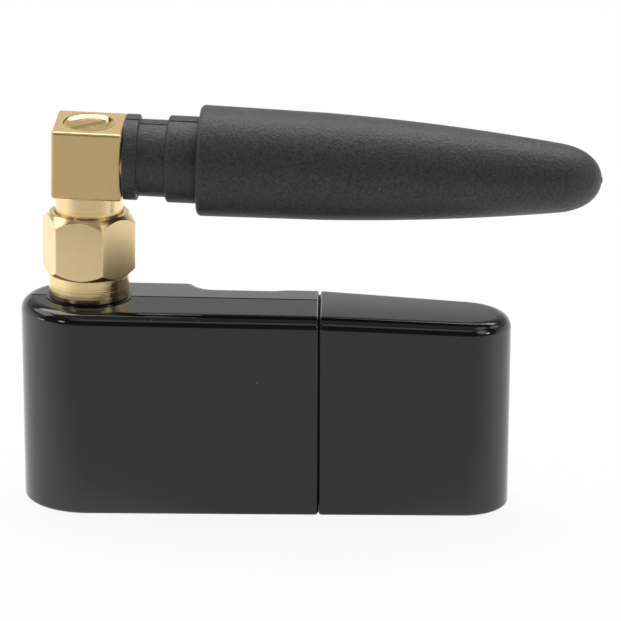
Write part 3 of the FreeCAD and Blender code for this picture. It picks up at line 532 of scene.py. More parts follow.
def fine_grain_group() -> bpy.types.NodeTree:
    """Build the group for an even fine grain, as of an eroded mould or a plated surface.

    Returns:
        The group's tree.
    """
    group = GroupTree("fine grain", {"Scale": 6.0, "Cells": 0.4}, "Height")
    where = {"Vector": group.given["Place"], "Scale": group.given["Scale"]}
    noise = group.node("ShaderNodeTexNoise", {**where, "Detail": 3.0, "Roughness": 0.6})
    cells = group.node("ShaderNodeTexVoronoi", where, feature="SMOOTH_F1")
    mean = group.node("ShaderNodeMix", {
        "Factor": group.given["Cells"], "A": noise.outputs["Fac"], "B": cells.outputs["Distance"],
    })
    return group.finish(mean.outputs["Result"])


def dust_group() -> bpy.types.NodeTree:
    """Build the group for scattered specks of lint and dust.

    Returns:
        The group's tree.
    """
    group = GroupTree("dust specks", {"Scale": 2.0, "Size": 0.05, "Share": 0.2}, "Mask")
    cells = group.node("ShaderNodeTexVoronoi", {
        "Vector": group.given["Place"], "Scale": group.given["Scale"], "Randomness": 1.0,
    })
    pick = group.node("ShaderNodeSeparateColor", {"Color": cells.outputs["Color"]}).outputs["Red"]
    small = group.reckon("LESS_THAN", cells.outputs["Distance"], group.given["Size"])
    chosen = group.reckon("LESS_THAN", pick, group.given["Share"])
    return group.finish(group.reckon("MULTIPLY", small, chosen))


@dataclass
class SharedEffects:
    """Shader groups that are built once and placed in several materials."""

    grain_tree: bpy.types.NodeTree = field(default_factory=fine_grain_group)
    dust_tree: bpy.types.NodeTree = field(default_factory=dust_group)

    def grain(self, shader: Shader, scale: float, cells: float = 0.0) -> Socket:
        """Place the fine grain in a material.

        Args:
            shader: The material's tree.
            scale: Number of grains in a millimetre, roughly.
            cells: Share of round cells in it.

        Returns:
            The grain's height, from 0 to 1.
        """
        given = {"Place": shader.place, "Scale": scale, "Cells": cells}
        return shader.node("ShaderNodeGroup", given, node_tree=self.grain_tree).outputs["Height"]

    def dust(self, shader: Shader, scale: float, size: float, share: float) -> Socket:
        """Place the specks of lint in a material.

        Args:
            shader: The material's tree.
            scale: Number of places for a speck in a millimetre.
            size: Radius of a speck, as a share of its place.
            share: Share of the places that hold one.

        Returns:
            A mask that is 1 on the specks.
        """
        given = {"Place": shader.place, "Scale": scale, "Size": size, "Share": share}
        return shader.node("ShaderNodeGroup", given, node_tree=self.dust_tree).outputs["Mask"]


# Finishes


class Crown(Enum):
    """Slight fall of a moulding's top towards its front and back edges."""

    ROOF = "two flat halves"
    DOME = "one even curve"


@dataclass(frozen=True)
class GlossBlack:
    """Polished black moulding with faint flow marks, a crowned top and a few specks of lint."""

    name: str = "gloss black moulding"
    colour: Colour = (0.0045, 0.0045, 0.005)
    flow_colour: Colour = (0.006, 0.006, 0.0065)
    flow_scale: float = 0.35
    flow_depth: float = 0.004
    lint_colour: Colour = (0.3, 0.3, 0.3)
    lint_scale: float = 1.1
    lint_size: float = 0.055
    lint_share: float = 0.05
    lint_height: float = 0.01
    roughness: tuple[float, float] = (0.06, 0.1)
    ior: float = 1.58
    crown: Crown = Crown.ROOF
    crown_slope: float = 1.0
    half_depth: float = 5.4

    def _crown_height(self, shader: Shader) -> Socket:
        """Work out how far the crown lies under its highest line.

        Args:
            shader: The material's tree.

        Returns:
            The fall, as a negative height in millimetres.
        """
        across = shader.node("ShaderNodeSeparateXYZ", {0: shader.place}).outputs["Y"]
        slope = math.tan(math.radians(self.crown_slope))
        if self.crown is Crown.ROOF:
            return shader.reckon("MULTIPLY", shader.reckon("ABSOLUTE", across), -slope)
        square = shader.reckon("MULTIPLY", across, across)
        return shader.reckon("MULTIPLY", square, -slope / (2 * self.half_depth))

    def build(self, effects: SharedEffects) -> bpy.types.Material:
        """Build the material.

        Args:
            effects: The shared shader groups.

        Returns:
            The material.
        """
        shader = Shader(self.name)
        shader.surface.inputs["IOR"].default_value = self.ior
        flow = effects.grain(shader, self.flow_scale)
        lint = effects.dust(shader, self.lint_scale, self.lint_size, self.lint_share)
        base = shader.mixed(flow, self.colour, self.flow_colour)
        shader.coat(shader.mixed(lint, base, self.lint_colour),
                    shader.spread(flow, *self.roughness))
        shader.bump(self._crown_height(shader), 1.0)
        shader.bump(flow, self.flow_depth)
        shader.bump(lint, self.lint_height)
        return shader.material


@dataclass(frozen=True)
class SatinBlack:
    """Satin black plastic with the fine even grain of an eroded mould."""

    name: str = "satin black plastic"
    colour: Colour = (0.011, 0.011, 0.012)
    worn_colour: Colour = (0.058, 0.058, 0.06)
    lint_colour: Colour = (0.3, 0.3, 0.3)
    lint_scale: float = 1.4
    lint_size: float = 0.06
    lint_share: float = 0.08
    roughness: tuple[float, float] = (0.45, 0.55)
    cloud_scale: float = 0.5
    grain_scale: float = 4.0
    grain_cells: float = 0.15
    grain_depth: float = 0.08
    grain_range: tuple[float, float] = (0.3, 0.72)

    def build(self, effects: SharedEffects) -> bpy.types.Material:
        """Build the material.

        Args:
            effects: The shared shader groups.

        Returns:
            The material.
        """
        shader = Shader(self.name)
        grain = effects.grain(shader, self.grain_scale, self.grain_cells)
        cloud = effects.grain(shader, self.cloud_scale)
        lint = effects.dust(shader, self.lint_scale, self.lint_size, self.lint_share)
        low, high = self.grain_range
        given = {"Value": grain, "From Min": low, "From Max": high}
        speckle = shader.node("ShaderNodeMapRange", given)
        base = shader.mixed(speckle.outputs["Result"], self.colour, self.worn_colour)
        shader.coat(shader.mixed(lint, base, self.lint_colour),
                    shader.spread(cloud, *self.roughness))
        shader.bump(grain, self.grain_depth)
        return shader.material


@dataclass(frozen=True)
class Mottled:
    """Plain finish of slightly uneven colour and gloss, with a fine grain."""

    name: str
    colour: Colour
    mottle: Colour
    roughness: tuple[float, float] = (0.4, 0.6)
    grain_scale: float = 5.0
    grain_cells: float = 0.5
    grain_depth: float = 0.006
    cloud_scale: float = 1.2
    cloud_cells: float = 0.2
    metallic: float = 0.0

    def build(self, effects: SharedEffects) -> bpy.types.Material:
        """Build the material.

        Args:
            effects: The shared shader groups.

        Returns:
            The material.
        """
        shader = Shader(self.name, self.metallic)
        cloud = effects.grain(shader, self.cloud_scale, self.cloud_cells)
        shader.coat(shader.mixed(cloud, self.colour, self.mottle),
                    shader.spread(cloud, *self.roughness))
        shader.bump(effects.grain(shader, self.grain_scale, self.grain_cells), self.grain_depth)
        return shader.material


@dataclass(frozen=True)
class Moulding(Mottled):
    """Plain moulded or cast non-metal."""


@dataclass(frozen=True)
class Metal(Mottled):
    """Plated or bare metal."""

    roughness: tuple[float, float] = (0.2, 0.32)
    grain_scale: float = 9.0
    grain_cells: float = 0.3
    grain_depth: float = 0.003
    cloud_scale: float = 0.7
    cloud_cells: float = 0.0
    metallic: float = 1.0


@dataclass(frozen=True)
class TurnedGold:
    """Gold plate over fine turning marks, with a satin region where the kind of piece has it."""

    name: str
    satin_colour: Colour
    satin_roughness: float = 0.4
    turned_colour: Colour = (0.87, 0.66, 0.34)
    turned_roughness: float = 0.2
    mark_scale: float = 11.0
    mark_depth: float = 0.012
    grain_scale: float = 8.0
    grain_cells: float = 0.3
    grain_depth: float = 0.006
    cloud_scale: float = 0.7
    cloud_share: float = 0.1
    places: PortPlaces = PortPlaces()

    def _satin_mask(self, shader: Shader, along: Socket, radius: Socket) -> Socket:
        """Return 1 on the satin region.

        Args:
            shader: The material's tree.
            along: Height over the housing, along the port's axis.
            radius: Distance from that axis.

        Returns:
            The mask.
        """
        raise NotImplementedError

    def _along_and_radius(self, shader: Shader) -> tuple[Socket, Socket]:
        """Find where a point of the surface lies from the port.

        Args:
            shader: The material's tree.

        Returns:
            The height over the housing along the port's axis, and the distance from that axis.
        """
        port = self.places.port()
        axis = port.to_3x3() @ UP
        offset = shader.vector("SUBTRACT", shader.place, port.translation / MM).outputs[0]
        aside = shader.vector("CROSS_PRODUCT", offset, axis).outputs[0]
        return shader.dot(offset, axis), shader.vector("LENGTH", aside).outputs["Value"]

    def build(self, effects: SharedEffects) -> bpy.types.Material:
        """Build the material.

        Args:
            effects: The shared shader groups.

        Returns:
            The material.
        """
        shader = Shader(self.name, 1.0)
        along, radius = self._along_and_radius(shader)
        mask = self._satin_mask(shader, along, radius)
        marks = shader.node("ShaderNodeTexNoise", noise_dimensions="1D")
        shader.feed(marks.inputs["W"], along)
        shader.feed(marks.inputs["Scale"], self.mark_scale)
        mottle = shader.node("ShaderNodeMix", data_type="RGBA", blend_type="MULTIPLY")
        shader.feed(mottle.inputs["Factor"], self.cloud_share)
        shader.feed(mottle.inputs[6], shader.mixed(mask, self.turned_colour, self.satin_colour))
        shader.feed(mottle.inputs[7], effects.grain(shader, self.cloud_scale))
        shader.coat(mottle.outputs[2],
                    shader.spread(mask, self.turned_roughness, self.satin_roughness))
        unmasked = shader.reckon("SUBTRACT", 1.0, mask)
        lines = shader.reckon("MULTIPLY", marks.outputs["Fac"], unmasked)
        shader.bump(effects.grain(shader, self.grain_scale, self.grain_cells), self.grain_depth)
        shader.bump(lines, self.mark_depth)
        return shader.material


@dataclass(frozen=True)
class BlastedBlock(TurnedGold):
    """Finish of the right-angle body: its block is blasted, and its ferrule turned."""

    name: str = "gold plate, turned and blasted"
    satin_colour: Colour = (0.74, 0.53, 0.26)

    def _satin_mask(self, shader: Shader, along: Socket, radius: Socket) -> Socket:
        """Find the block.

        Args:
            shader: The material's tree.
            along: Height over the housing, which isn't needed here.
            radius: Distance from the port's axis, which isn't needed here.

        Returns:
            1 above the plane of the block's underside, and 0 below it.
        """
        block = self.places.block()
        upward = block.to_3x3() @ UP
        underside = block.translation.dot(upward) / MM
        return shader.reckon("GREATER_THAN", shader.dot(shader.place, upward), underside)


@dataclass(frozen=True)
class MilledFlats(TurnedGold):
    """Finish of the coupling nut: its flats are milled, and its top and skirt turned."""

    name: str = "gold plate, turned and milled"
    satin_colour: Colour = (0.93, 0.72, 0.4)
    satin_roughness: float = 0.34
    form: NutForm = NutForm()
    margin: float = 0.05

    def _satin_mask(self, shader: Shader, along: Socket, radius: Socket) -> Socket:
        """Find the six flats, which lie outside the skirt and below the turned top.

        Args:
            shader: The material's tree.
            along: Height over the housing, along the port's axis.
            radius: Distance from that axis.

        Returns:
            1 on the flats, and 0 elsewhere.
        """
        form = self.form
        raised = shader.reckon("MULTIPLY_ADD", radius, form.slope, along)
        below = shader.reckon("LESS_THAN", raised, form.top + form.slope * form.rim - self.margin)
        outside = shader.reckon("GREATER_THAN", radius, form.skirt + self.margin)
        return shader.reckon("MULTIPLY", below, outside)


@dataclass(frozen=True)
class SolderMask:
    """Green lacquer over a board, whose tracks show through as a lighter, raised pattern."""

    name: str = "green solder mask"
    colour: Colour = (0.01, 0.12, 0.05)
    track_colour: Colour = (0.02, 0.2, 0.08)
    track_scale: float = 0.9
    track_width: float = 0.12
    track_depth: float = 0.03
    roughness: tuple[float, float] = (0.2, 0.35)
    cloud_scale: float = 1.5
    cloud_cells: float = 0.2

    def build(self, effects: SharedEffects) -> bpy.types.Material:
        """Build the material.

        Args:
            effects: The shared shader groups.

        Returns:
            The material.
        """
        shader = Shader(self.name)
        upright = (math.radians(90), 0, 0)
        place = shader.node("ShaderNodeMapping", {"Vector": shader.place, "Rotation": upright})
        tracks = shader.node("ShaderNodeTexBrick", {
            "Vector": place.outputs["Vector"], "Scale": self.track_scale,
            "Mortar Size": self.track_width,
        }, offset=0.5).outputs["Fac"]
        cloud = effects.grain(shader, self.cloud_scale, self.cloud_cells)
        shader.coat(shader.mixed(tracks, self.colour, self.track_colour),
                    shader.spread(cloud, *self.roughness))
        shader.bump(tracks, self.track_depth)
        return shader.material


class FinishBook:
    """Holds one material for each slot of the record, and a few for single pieces."""

    def __init__(self) -> None:
        """Build every finish once."""
        effects = SharedEffects()
        finishes = {
            Slot.HOUSING: GlossBlack(),
            Slot.ANTENNA: SatinBlack(),
            Slot.GOLD_PLATE: Metal(
                "satin gold plate", (0.86, 0.63, 0.3), (0.8, 0.59, 0.27), (0.22, 0.3)),
            Slot.GOLD_CONTACT: Metal(
                "bright gold plate", (0.85, 0.6, 0.26), (0.78, 0.54, 0.22), (0.12, 0.2)),
            Slot.PLUG_STEEL: Metal(
                "nickel-plated sheet", (0.62, 0.62, 0.63), (0.52, 0.52, 0.54), (0.22, 0.32)),
            Slot.PLUG_MOULDING: Moulding(
                "white plug moulding", (0.72, 0.72, 0.69), (0.64, 0.64, 0.62)),
            Slot.BOARD: SolderMask(),
            Slot.CHIP: Moulding(
                "matt chip epoxy", (0.02, 0.02, 0.022), (0.035, 0.035, 0.037), (0.55, 0.7), 9.0),
            Slot.CAN: Metal("pressed steel can", (0.6, 0.6, 0.6), (0.5, 0.5, 0.51), (0.2, 0.3)),
            Slot.CERAMIC: Moulding(
                "bare ceramic", (0.4, 0.27, 0.15), (0.33, 0.22, 0.13), (0.35, 0.5)),
            Slot.RESISTOR: Moulding(
                "glazed black", (0.03, 0.03, 0.035), (0.05, 0.05, 0.055), (0.2, 0.35)),
            Slot.INSULATOR: Moulding(
                "waxy white insulator", (0.8, 0.8, 0.78), (0.74, 0.74, 0.72), (0.35, 0.5)),
            Slot.RUBBER: Moulding(
                "soft black rubber", (0.01, 0.01, 0.01), (0.014, 0.014, 0.014), (0.12, 0.2)),
            Slot.JACKET: Moulding(
                "clear brown cable jacket", (0.3, 0.14, 0.07), (0.38, 0.2, 0.1), (0.2, 0.3)),
            Slot.COPPER: Metal("bare copper", (0.7, 0.33, 0.19), (0.6, 0.26, 0.15), (0.2, 0.35)),
        }
        # Painted shade: the seam rim's near-black matt finish, darker than the housing, stands in
        # for the shade deep in the seam; the rim itself really blocks the light.
        rim = Moulding("matt black rim, painted seam shade", (0.003, 0.003, 0.003), (0.005, 0.005, 0.005), (0.7, 0.85))
        cap = GlossBlack("gloss black cap", crown=Crown.DOME, crown_slope=1.6)
        nut = MilledFlats().build(effects)
        self.materials = {slot: finish.build(effects) for slot, finish in finishes.items()}
        self.special = {
            "seam_rim": rim.build(effects),
            "usb_cap": cap.build(effects),
            "elbow_body": BlastedBlock().build(effects),
            "hex_nut": nut,
            "coupling_nut": nut,
        }
        subparts = frame["record"]["subparts"]
        self.node_slots = {part["node"]: Slot(part["material_slot"]) for part in subparts}

    def dress(self, piece: bpy.types.Object, slot: Slot) -> None:
        """Give a new piece its own finish or its slot's.

        Args:
            piece: The piece.
            slot: Its material slot.
        """
        piece.data.materials.clear()
        piece.data.materials.append(self.special.get(piece.name, self.materials[slot]))

    def dress_node(self, name: str) -> None:
        """Give a node of the part its own finish, or that of the slot that the record names for it.

        Args:
            name: Name of the node.
        """
        for slot in frame["nodes"][name].material_slots:
            slot.link = "OBJECT"
            slot.material = self.special.get(name, self.materials[self.node_slots[name]])


# Sub-assemblies


@dataclass
class ScrewThread:
    """Winds a bar of square section, set on its edge, along a screw line, by Geometry Nodes.

    One half of the bar is sunk in the piece, and the other is the thread's triangular ridge.
    """

    resolution: int = 40
    corners: int = 4
    pitch: float = 0.7056
    sunk: float = 0.02
    tree: bpy.types.NodeTree = field(init=False)

    def __post_init__(self) -> None:
        """Build the tree, with its sizes as named inputs in metres."""
        self.tree = bpy.data.node_groups.new("screw thread", "GeometryNodeTree")
        inputs = {"Radius": "Float", "Pitch": "Float", "Turns": "Float", "Ridge": "Float",
                  "Finish": "Material"}
        add = self.tree.interface.new_socket
        for name, kind in inputs.items():
            add(name, in_out="INPUT", socket_type="NodeSocket" + kind)
        add("Geometry", in_out="OUTPUT", socket_type="NodeSocketGeometry")
        wiring = Wiring(self.tree)
        given = wiring.node("NodeGroupInput").outputs
        rise = wiring.reckon("MULTIPLY", given["Pitch"], given["Turns"])
        line = wiring.node("GeometryNodeCurveSpiral", {
            "Resolution": self.resolution, "Rotations": given["Turns"],
            "Start Radius": given["Radius"], "End Radius": given["Radius"], "Height": rise,
        })
        upright = wiring.node("GeometryNodeSetCurveNormal", {"Curve": line.outputs["Curve"]},
                              mode="Z_UP")
        section = wiring.node("GeometryNodeCurvePrimitiveCircle", {
            "Resolution": self.corners, "Radius": given["Ridge"],
        })
        wound = wiring.node("GeometryNodeCurveToMesh", {
            "Curve": upright.outputs["Curve"], "Profile Curve": section.outputs["Curve"],
            "Fill Caps": True,
        })
        real = wiring.node("GeometryNodeRealizeInstances", {"Geometry": wound.outputs["Mesh"]})
        dressed = wiring.node("GeometryNodeSetMaterial", {
            "Geometry": real.outputs["Geometry"], "Material": given["Finish"],
        })
        wiring.node("NodeGroupOutput", {"Geometry": dressed.outputs["Geometry"]})

    def wind(self, radius: float, ridge: float, turns: float, place: Matrix,
             finish: bpy.types.Material) -> bpy.types.Mesh:
        """Wind one thread and return it as a plain mesh.

        Args:
            radius: Radius of the screw line.
            ridge: Height of the ridge over that line.
            turns: Number of turns.
            place: Frame whose Z the screw line rises along.
            finish: Material of the ridge.

        Returns:
            The mesh, placed in the frame of the part.
        """
        values = {"Radius": radius * MM, "Pitch": self.pitch * MM, "Turns": turns,
                  "Ridge": ridge * MM, "Finish": finish}
        holder = linked("thread holder", bpy.data.meshes.new("thread holder"))
        winding = holder.modifiers.new("thread", "NODES")
        winding.node_group = self.tree
        for item in self.tree.interface.items_tree:
            if item.in_out == "INPUT":
                winding[item.identifier] = values[item.name]
        bpy.context.view_layer.update()
        graph = bpy.context.evaluated_depsgraph_get()
        mesh = bpy.data.meshes.new_from_object(holder.evaluated_get(graph))
        bpy.data.objects.remove(holder)
        mesh.transform(place)
        return mesh


@dataclass
class AntennaPort:
    """Threaded jack with its flange and legs."""

    book: FinishBook
    places: PortPlaces
    thread: ScrewThread
    crest: float = 3.1
    root: float = 2.82
    reach: float = 5.6
    run_out: tuple[float, float] = (0.3, 0.6)
    thread_start: float = 0.5
    bore: float = 2.05
    mouth: float = 2.32
    mouth_depth: float = 1.93
    edge_round: float = 0.05
    end_round: float = 0.12
    mouth_round: float = 0.1
    seat_round: float = 0.03
    round_steps: int = 3
    flange_side: float = 6.4
    flange_top: float = -1.22
    flange_thickness: float = 1.5
    flange_bevel: float = 0.12
    leg_side: float = 1.0
    leg_length: float = 3.6
    leg_spread: float = 5.1
    leg_lows: tuple[float, float] = (-0.635, -2.875)
    leg_bevel: float = 0.1

    @property
    def flange_base(self) -> float:
        """Height of the flange's underside."""
        return self.flange_top - self.flange_thickness

    def _barrel(self) -> Profile:
        """Work out the outline of the barrel, without its thread.

        Returns:
            The outline as (along, radius).
        """
        seat = self.reach - self.mouth_depth
        edge = self.edge_round
        return rounded_outline([
            (self.flange_base, self.bore, edge), (self.flange_base, self.crest, edge),
            (self.run_out[0], self.crest, edge), (self.run_out[1], self.root, edge),
            (self.reach, self.root, self.end_round), (self.reach, self.mouth, self.mouth_round),
            (seat, self.mouth, self.seat_round), (seat, self.bore, self.seat_round),
        ], self.round_steps)

    def jack(self) -> bpy.types.Object:
        """Build the jack: a threaded barrel on a square flange with four legs.

        Returns:
            The jack as one object.
        """
        maker = MeshMaker(self.places.port())
        low = self.flange_base
        maker.lathe(self._barrel(), Axis.PORT)
        half = self.flange_side / 2
        maker.box(Vector((-half, -half, low)), Vector((half, half, self.flange_top)),
                  self.flange_bevel)
        for side in (-1, 1):
            for depth in self.leg_lows:
                x = side * self.leg_spread / 2
                maker.box(Vector((x - self.leg_side / 2, depth, low - self.leg_length)),
                          Vector((x + self.leg_side / 2, depth + self.leg_side, low)),
                          self.leg_bevel)
        ridge = self.crest - self.root
        turns = (self.reach - self.thread_start - 2 * ridge) / self.thread.pitch
        maker.add_mesh(self.thread.wind(
            self.root - self.thread.sunk, ridge + self.thread.sunk, turns,
            self.places.port() @ moved(0, 0, self.thread_start + ridge),
            self.book.materials[Slot.GOLD_PLATE]))
        return maker.finish("threaded_jack")

    def build(self) -> list[bpy.types.Object]:
        """Build and dress the jack.

        Returns:
            The jack, riding on the stick.
        """
        jack = self.jack()
        self.book.dress(jack, Slot.GOLD_PLATE)
        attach(jack, Body.STICK.value)
        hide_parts("jack_body")
        return [jack]


@dataclass
class CouplingNut:
    """Hexagonal nut with sloped shoulders, a round skirt and a threaded bore."""

    book: FinishBook
    places: PortPlaces
    thread: ScrewThread
    form: NutForm = NutForm()
    base: float = 0.13
    turn: float = 10.0
    corner_round: float = 0.22
    corner_shares: tuple[float, ...] = (-1, -0.6, -0.2, 0.2, 0.6)
    bore: float = 3.16
    root: float = 3.42
    mouth_chamfer: float = 0.12
    thread_top: float = 5.75
    thread_start: float = 1.5
    ferrule_bore: float = 3.295
    groove: tuple[float, float, float] = (6.71, 7.27, 3.675)
    samples: int = 14
    edge_round: float = 0.05
    skirt_round: float = 0.12
    neck_round: float = 0.03
    round_steps: int = 3
    sharp_angle: float = 22.0

    @property
    def _corner_centre(self) -> float:
        """Distance from the axis at which the round of each corner is centred."""
        return (self.form.flats / 2 - self.corner_round) / math.cos(math.radians(30))

    @property
    def _corner_turn(self) -> float:
        """Half the angle that the round of a corner takes up, seen from the axis."""
        reach = self._corner_centre + self.corner_round * math.cos(math.radians(30))
        return math.degrees(math.atan2(self.corner_round / 2, reach))

    def _side_radius(self, angle: float) -> float:
        """Find how far the hexagon's side lies from the axis.

        Args:
            angle: Direction from the axis.

        Returns:
            The distance, which takes in the rounds of the corners.
        """
        sector = (angle + self.turn) % 60 - 30
        off = 30 - abs(sector)
        if off >= self._corner_turn:
            return self.form.flats / 2 / math.cos(math.radians(sector))
        centre = self._corner_centre
        aside = centre * math.sin(math.radians(off))
        return centre * math.cos(math.radians(off)) + math.sqrt(self.corner_round ** 2 - aside ** 2)

    def _stations(self) -> list[float]:
        """Choose the directions of the nut's columns.

        Returns:
            The directions, dense at the corners.
        """
        rounded = [self._corner_turn * share for share in self.corner_shares]
        flat = [self._corner_turn + (60 - 2 * self._corner_turn) * step / self.samples
                for step in range(self.samples)]
        return [60 * face - self.turn + offset for face in range(6) for offset in rounded + flat]

    def _column(self, angle: float) -> Profile:
        """Work out the nut's outline in one direction.

        Args:
            angle: Direction from the axis.

        Returns:
            The outline, with equally many points in every direction.
        """
        form, edge, side = self.form, self.edge_round, self._side_radius(angle)
        low, high, deep = self.groove
        return rounded_outline([
            (self.base, self.root + self.mouth_chamfer, 0),
            (self.base, form.skirt, self.skirt_round), (form.hex_base, form.skirt, self.neck_round),
            (form.hex_base + side - form.skirt, side, edge),
            (form.top - form.slope * (side - form.rim), side, edge), (form.top, form.rim, edge),
            (form.top, self.ferrule_bore, edge), (high, self.ferrule_bore, 0), (high, deep, 0),
            (low, deep, 0), (low, self.ferrule_bore, 0), (self.thread_top, self.ferrule_bore, 0),
            (self.thread_top, self.root, 0), (self.base + self.mouth_chamfer, self.root, 0),
        ], self.round_steps)

    def nut(self) -> bpy.types.Object:
        """Build the nut without its thread.

        Returns:
            The nut as one closed mesh.
        """
        stations = self._stations()
        turns = [math.radians(angle) for angle in stations]
        rings = [
            [Vector((radius * math.cos(turn), radius * math.sin(turn), along))
             for turn, (along, radius) in zip(turns, row)]
            for row in zip(*(self._column(angle) for angle in stations))
        ]
        maker = MeshMaker(self.places.port())
        maker.loft(rings, closed=True)
        return maker.finish("hex_nut", self.sharp_angle)

    def inner_thread(self) -> bpy.types.Object:
        """Build the thread inside the nut.

        Returns:
            The thread's ridge as an object of its own.
        """
        ridge = self.root - self.bore
        turns = (self.thread_top - self.base - 2 * self.thread_start * ridge) / self.thread.pitch
        maker = MeshMaker(Matrix.Identity(4))
        maker.add_mesh(self.thread.wind(
            self.root + self.thread.sunk, ridge + self.thread.sunk, turns,
            self.places.port() @ moved(0, 0, self.base + self.thread_start * ridge),
            self.book.materials[Slot.GOLD_PLATE]))
        return maker.finish("nut_thread")

    def build(self) -> list[bpy.types.Object]:
        """Build and dress the nut and its thread.

        Returns:
            Both pieces, riding on the nut.
        """
        nut, inner = self.nut(), self.inner_thread()
        for piece in (nut, inner):
            self.book.dress(piece, Slot.GOLD_PLATE)
            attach(piece, Body.NUT.value)
        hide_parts("coupling_nut")
        return [nut, inner]


@dataclass
class AntennaFoot:
    """Black foot of the antenna with collar, neck, shoulder and spigot, and the mould's line."""

    book: FinishBook
    places: PortPlaces
    start: float = 3.5
    collar_radius: float = 4.1
    collar_length: float = 1.35
    collar_rounds: tuple[float, float] = (0.12, 0.14)
    neck_radius: float = 3.68
    neck_length: float = 2.7
    neck_round: float = 0.08
    shoulder_radius: float = 4.15
    shoulder_length: float = 3.0
    shoulder_rounds: tuple[float, float] = (0.3, 0.03)
    spigot_radius: float = 3.9
    spigot_length: float = 3.5
    spigot_rounds: tuple[float, float] = (0.02, 0.2)
    bore: float = 2.63
    bore_depth: float = 3.78
    bore_rounds: tuple[float, float] = (0.04, 0.03)
    cable_bore: float = 0.93
    cable_round: float = 0.02
    steps: int = 128

    def foot(self) -> bpy.types.Object:
        """Build the foot.

        Returns:
            The foot as one turned, bored mesh.
        """
        neck = self.start + self.collar_length
        shoulder = neck + self.neck_length
        sleeve = shoulder + self.shoulder_length
        end = sleeve + self.spigot_length
        seat = self.start + self.bore_depth
        outline = rounded_outline([
            (self.start, self.bore, self.bore_rounds[0]),
            (self.start, self.collar_radius, self.collar_rounds[0]),
            (neck, self.collar_radius, self.collar_rounds[1]),
            (neck, self.neck_radius, self.neck_round),
            (shoulder, self.neck_radius, self.neck_round),
            (shoulder, self.shoulder_radius, self.shoulder_rounds[0]),
            (sleeve, self.shoulder_radius, self.shoulder_rounds[1]),
            (sleeve, self.spigot_radius, self.spigot_rounds[0]),
            (end, self.spigot_radius, self.spigot_rounds[1]),
            (end, self.cable_bore, self.cable_round),
            (seat, self.cable_bore, self.cable_round), (seat, self.bore, self.bore_rounds[1]),
        ])
        maker = MeshMaker(self.places.arm())
        maker.lathe(outline, Axis.ARM, self.steps, MouldLine())
        return maker.finish("antenna_foot")

    def build(self) -> list[bpy.types.Object]:
        """Build and dress the foot.

        Returns:
            The foot, riding on the antenna.
        """
        foot = self.foot()
        self.book.dress(foot, Slot.ANTENNA)
        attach(foot, Body.ANTENNA.value)
        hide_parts("antenna_base")
        return [foot]


@dataclass
class ElbowCover:
    """Dished round cover in the block's top, with a screwdriver slot whose sides lean outwards."""

    book: FinishBook
    places: PortPlaces
    radius: float = 2.4
    middle: float = 0.1
    block_top: float = 6.73
    thickness: float = 1.03
    sink: float = 0.02
    dish_radius: float = 2.02
    dish_depth: float = 0.24
    slot_turn: float = 35.0
    slot_width: float = 0.86
    floor_width: float = 0.3
    slot_depth: float = 0.34
    end_wall: float = 1e-4
    stations: int = 56
    samples: int = 12
    sharp_angle: float = 24.0

    def _dish(self, distance: float) -> float:
        """Find how deep the cover's face lies.

        Args:
            distance: Distance from the cover's middle.

        Returns:
            The depth under the block's top.
        """
        share = min(1.0, max(0.0, (self.radius - distance) / (self.radius - self.dish_radius)))
        return self.sink + (self.dish_depth - self.sink) * share

    def _section(self, along: float) -> list[Vector]:
        """Return the cover's outline in an upright cut across the slot.

        Args:
            along: Distance of the cut from the middle, along the slot.

        Returns:
            Points across the cover, from one edge over its face to the other and back below.
        """
        reach = math.sqrt(max(0.0, self.radius ** 2 - along ** 2))
        lip = min(self.slot_width / 2, reach)
        floor = min(self.floor_width / 2, reach)
        open_end = reach <= self.slot_width / 2
        bottom = self.dish_depth + self.slot_depth
        side = []
        for step in range(self.samples + 1):
            across = lip + (reach - lip) * math.sin(math.pi / 2 * step / self.samples)
            side.append((across, bottom if open_end else self._dish(math.hypot(along, across))))
        upper = [(-across, depth) for across, depth in reversed(side)]
        upper += [(-floor, bottom), (floor, bottom)] + side
        points = upper + [(reach, self.thickness), (-reach, self.thickness)]
        return [Vector((along, across, self.block_top - depth)) for across, depth in points]

    def cover(self) -> bpy.types.Object:
        """Build the cover.

        Returns:
            The cover as one closed mesh.
        """
        middle = self.places.block() @ moved(self.middle, 0, 0)
        maker = MeshMaker(middle @ turned(self.slot_turn, "Z"))
        mouth = math.sqrt(self.radius ** 2 - (self.slot_width / 2) ** 2)
        inner = mouth - self.end_wall
        even = [-self.radius * math.cos(math.pi * index / self.stations)
                for index in range(self.stations + 1)]
        cuts = sorted(even + [-mouth, mouth, -inner, inner])
        maker.loft([self._section(along) for along in cuts], closed=False)
        return maker.finish("slotted_cover", self.sharp_angle)

    def build(self) -> list[bpy.types.Object]:
        """Build and dress the cover.

        Returns:
            The cover, riding on the antenna.
        """
        cover = self.cover()
        self.book.dress(cover, Slot.GOLD_PLATE)
        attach(cover, Body.ANTENNA.value)
        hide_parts("elbow_cover")
        return [cover]


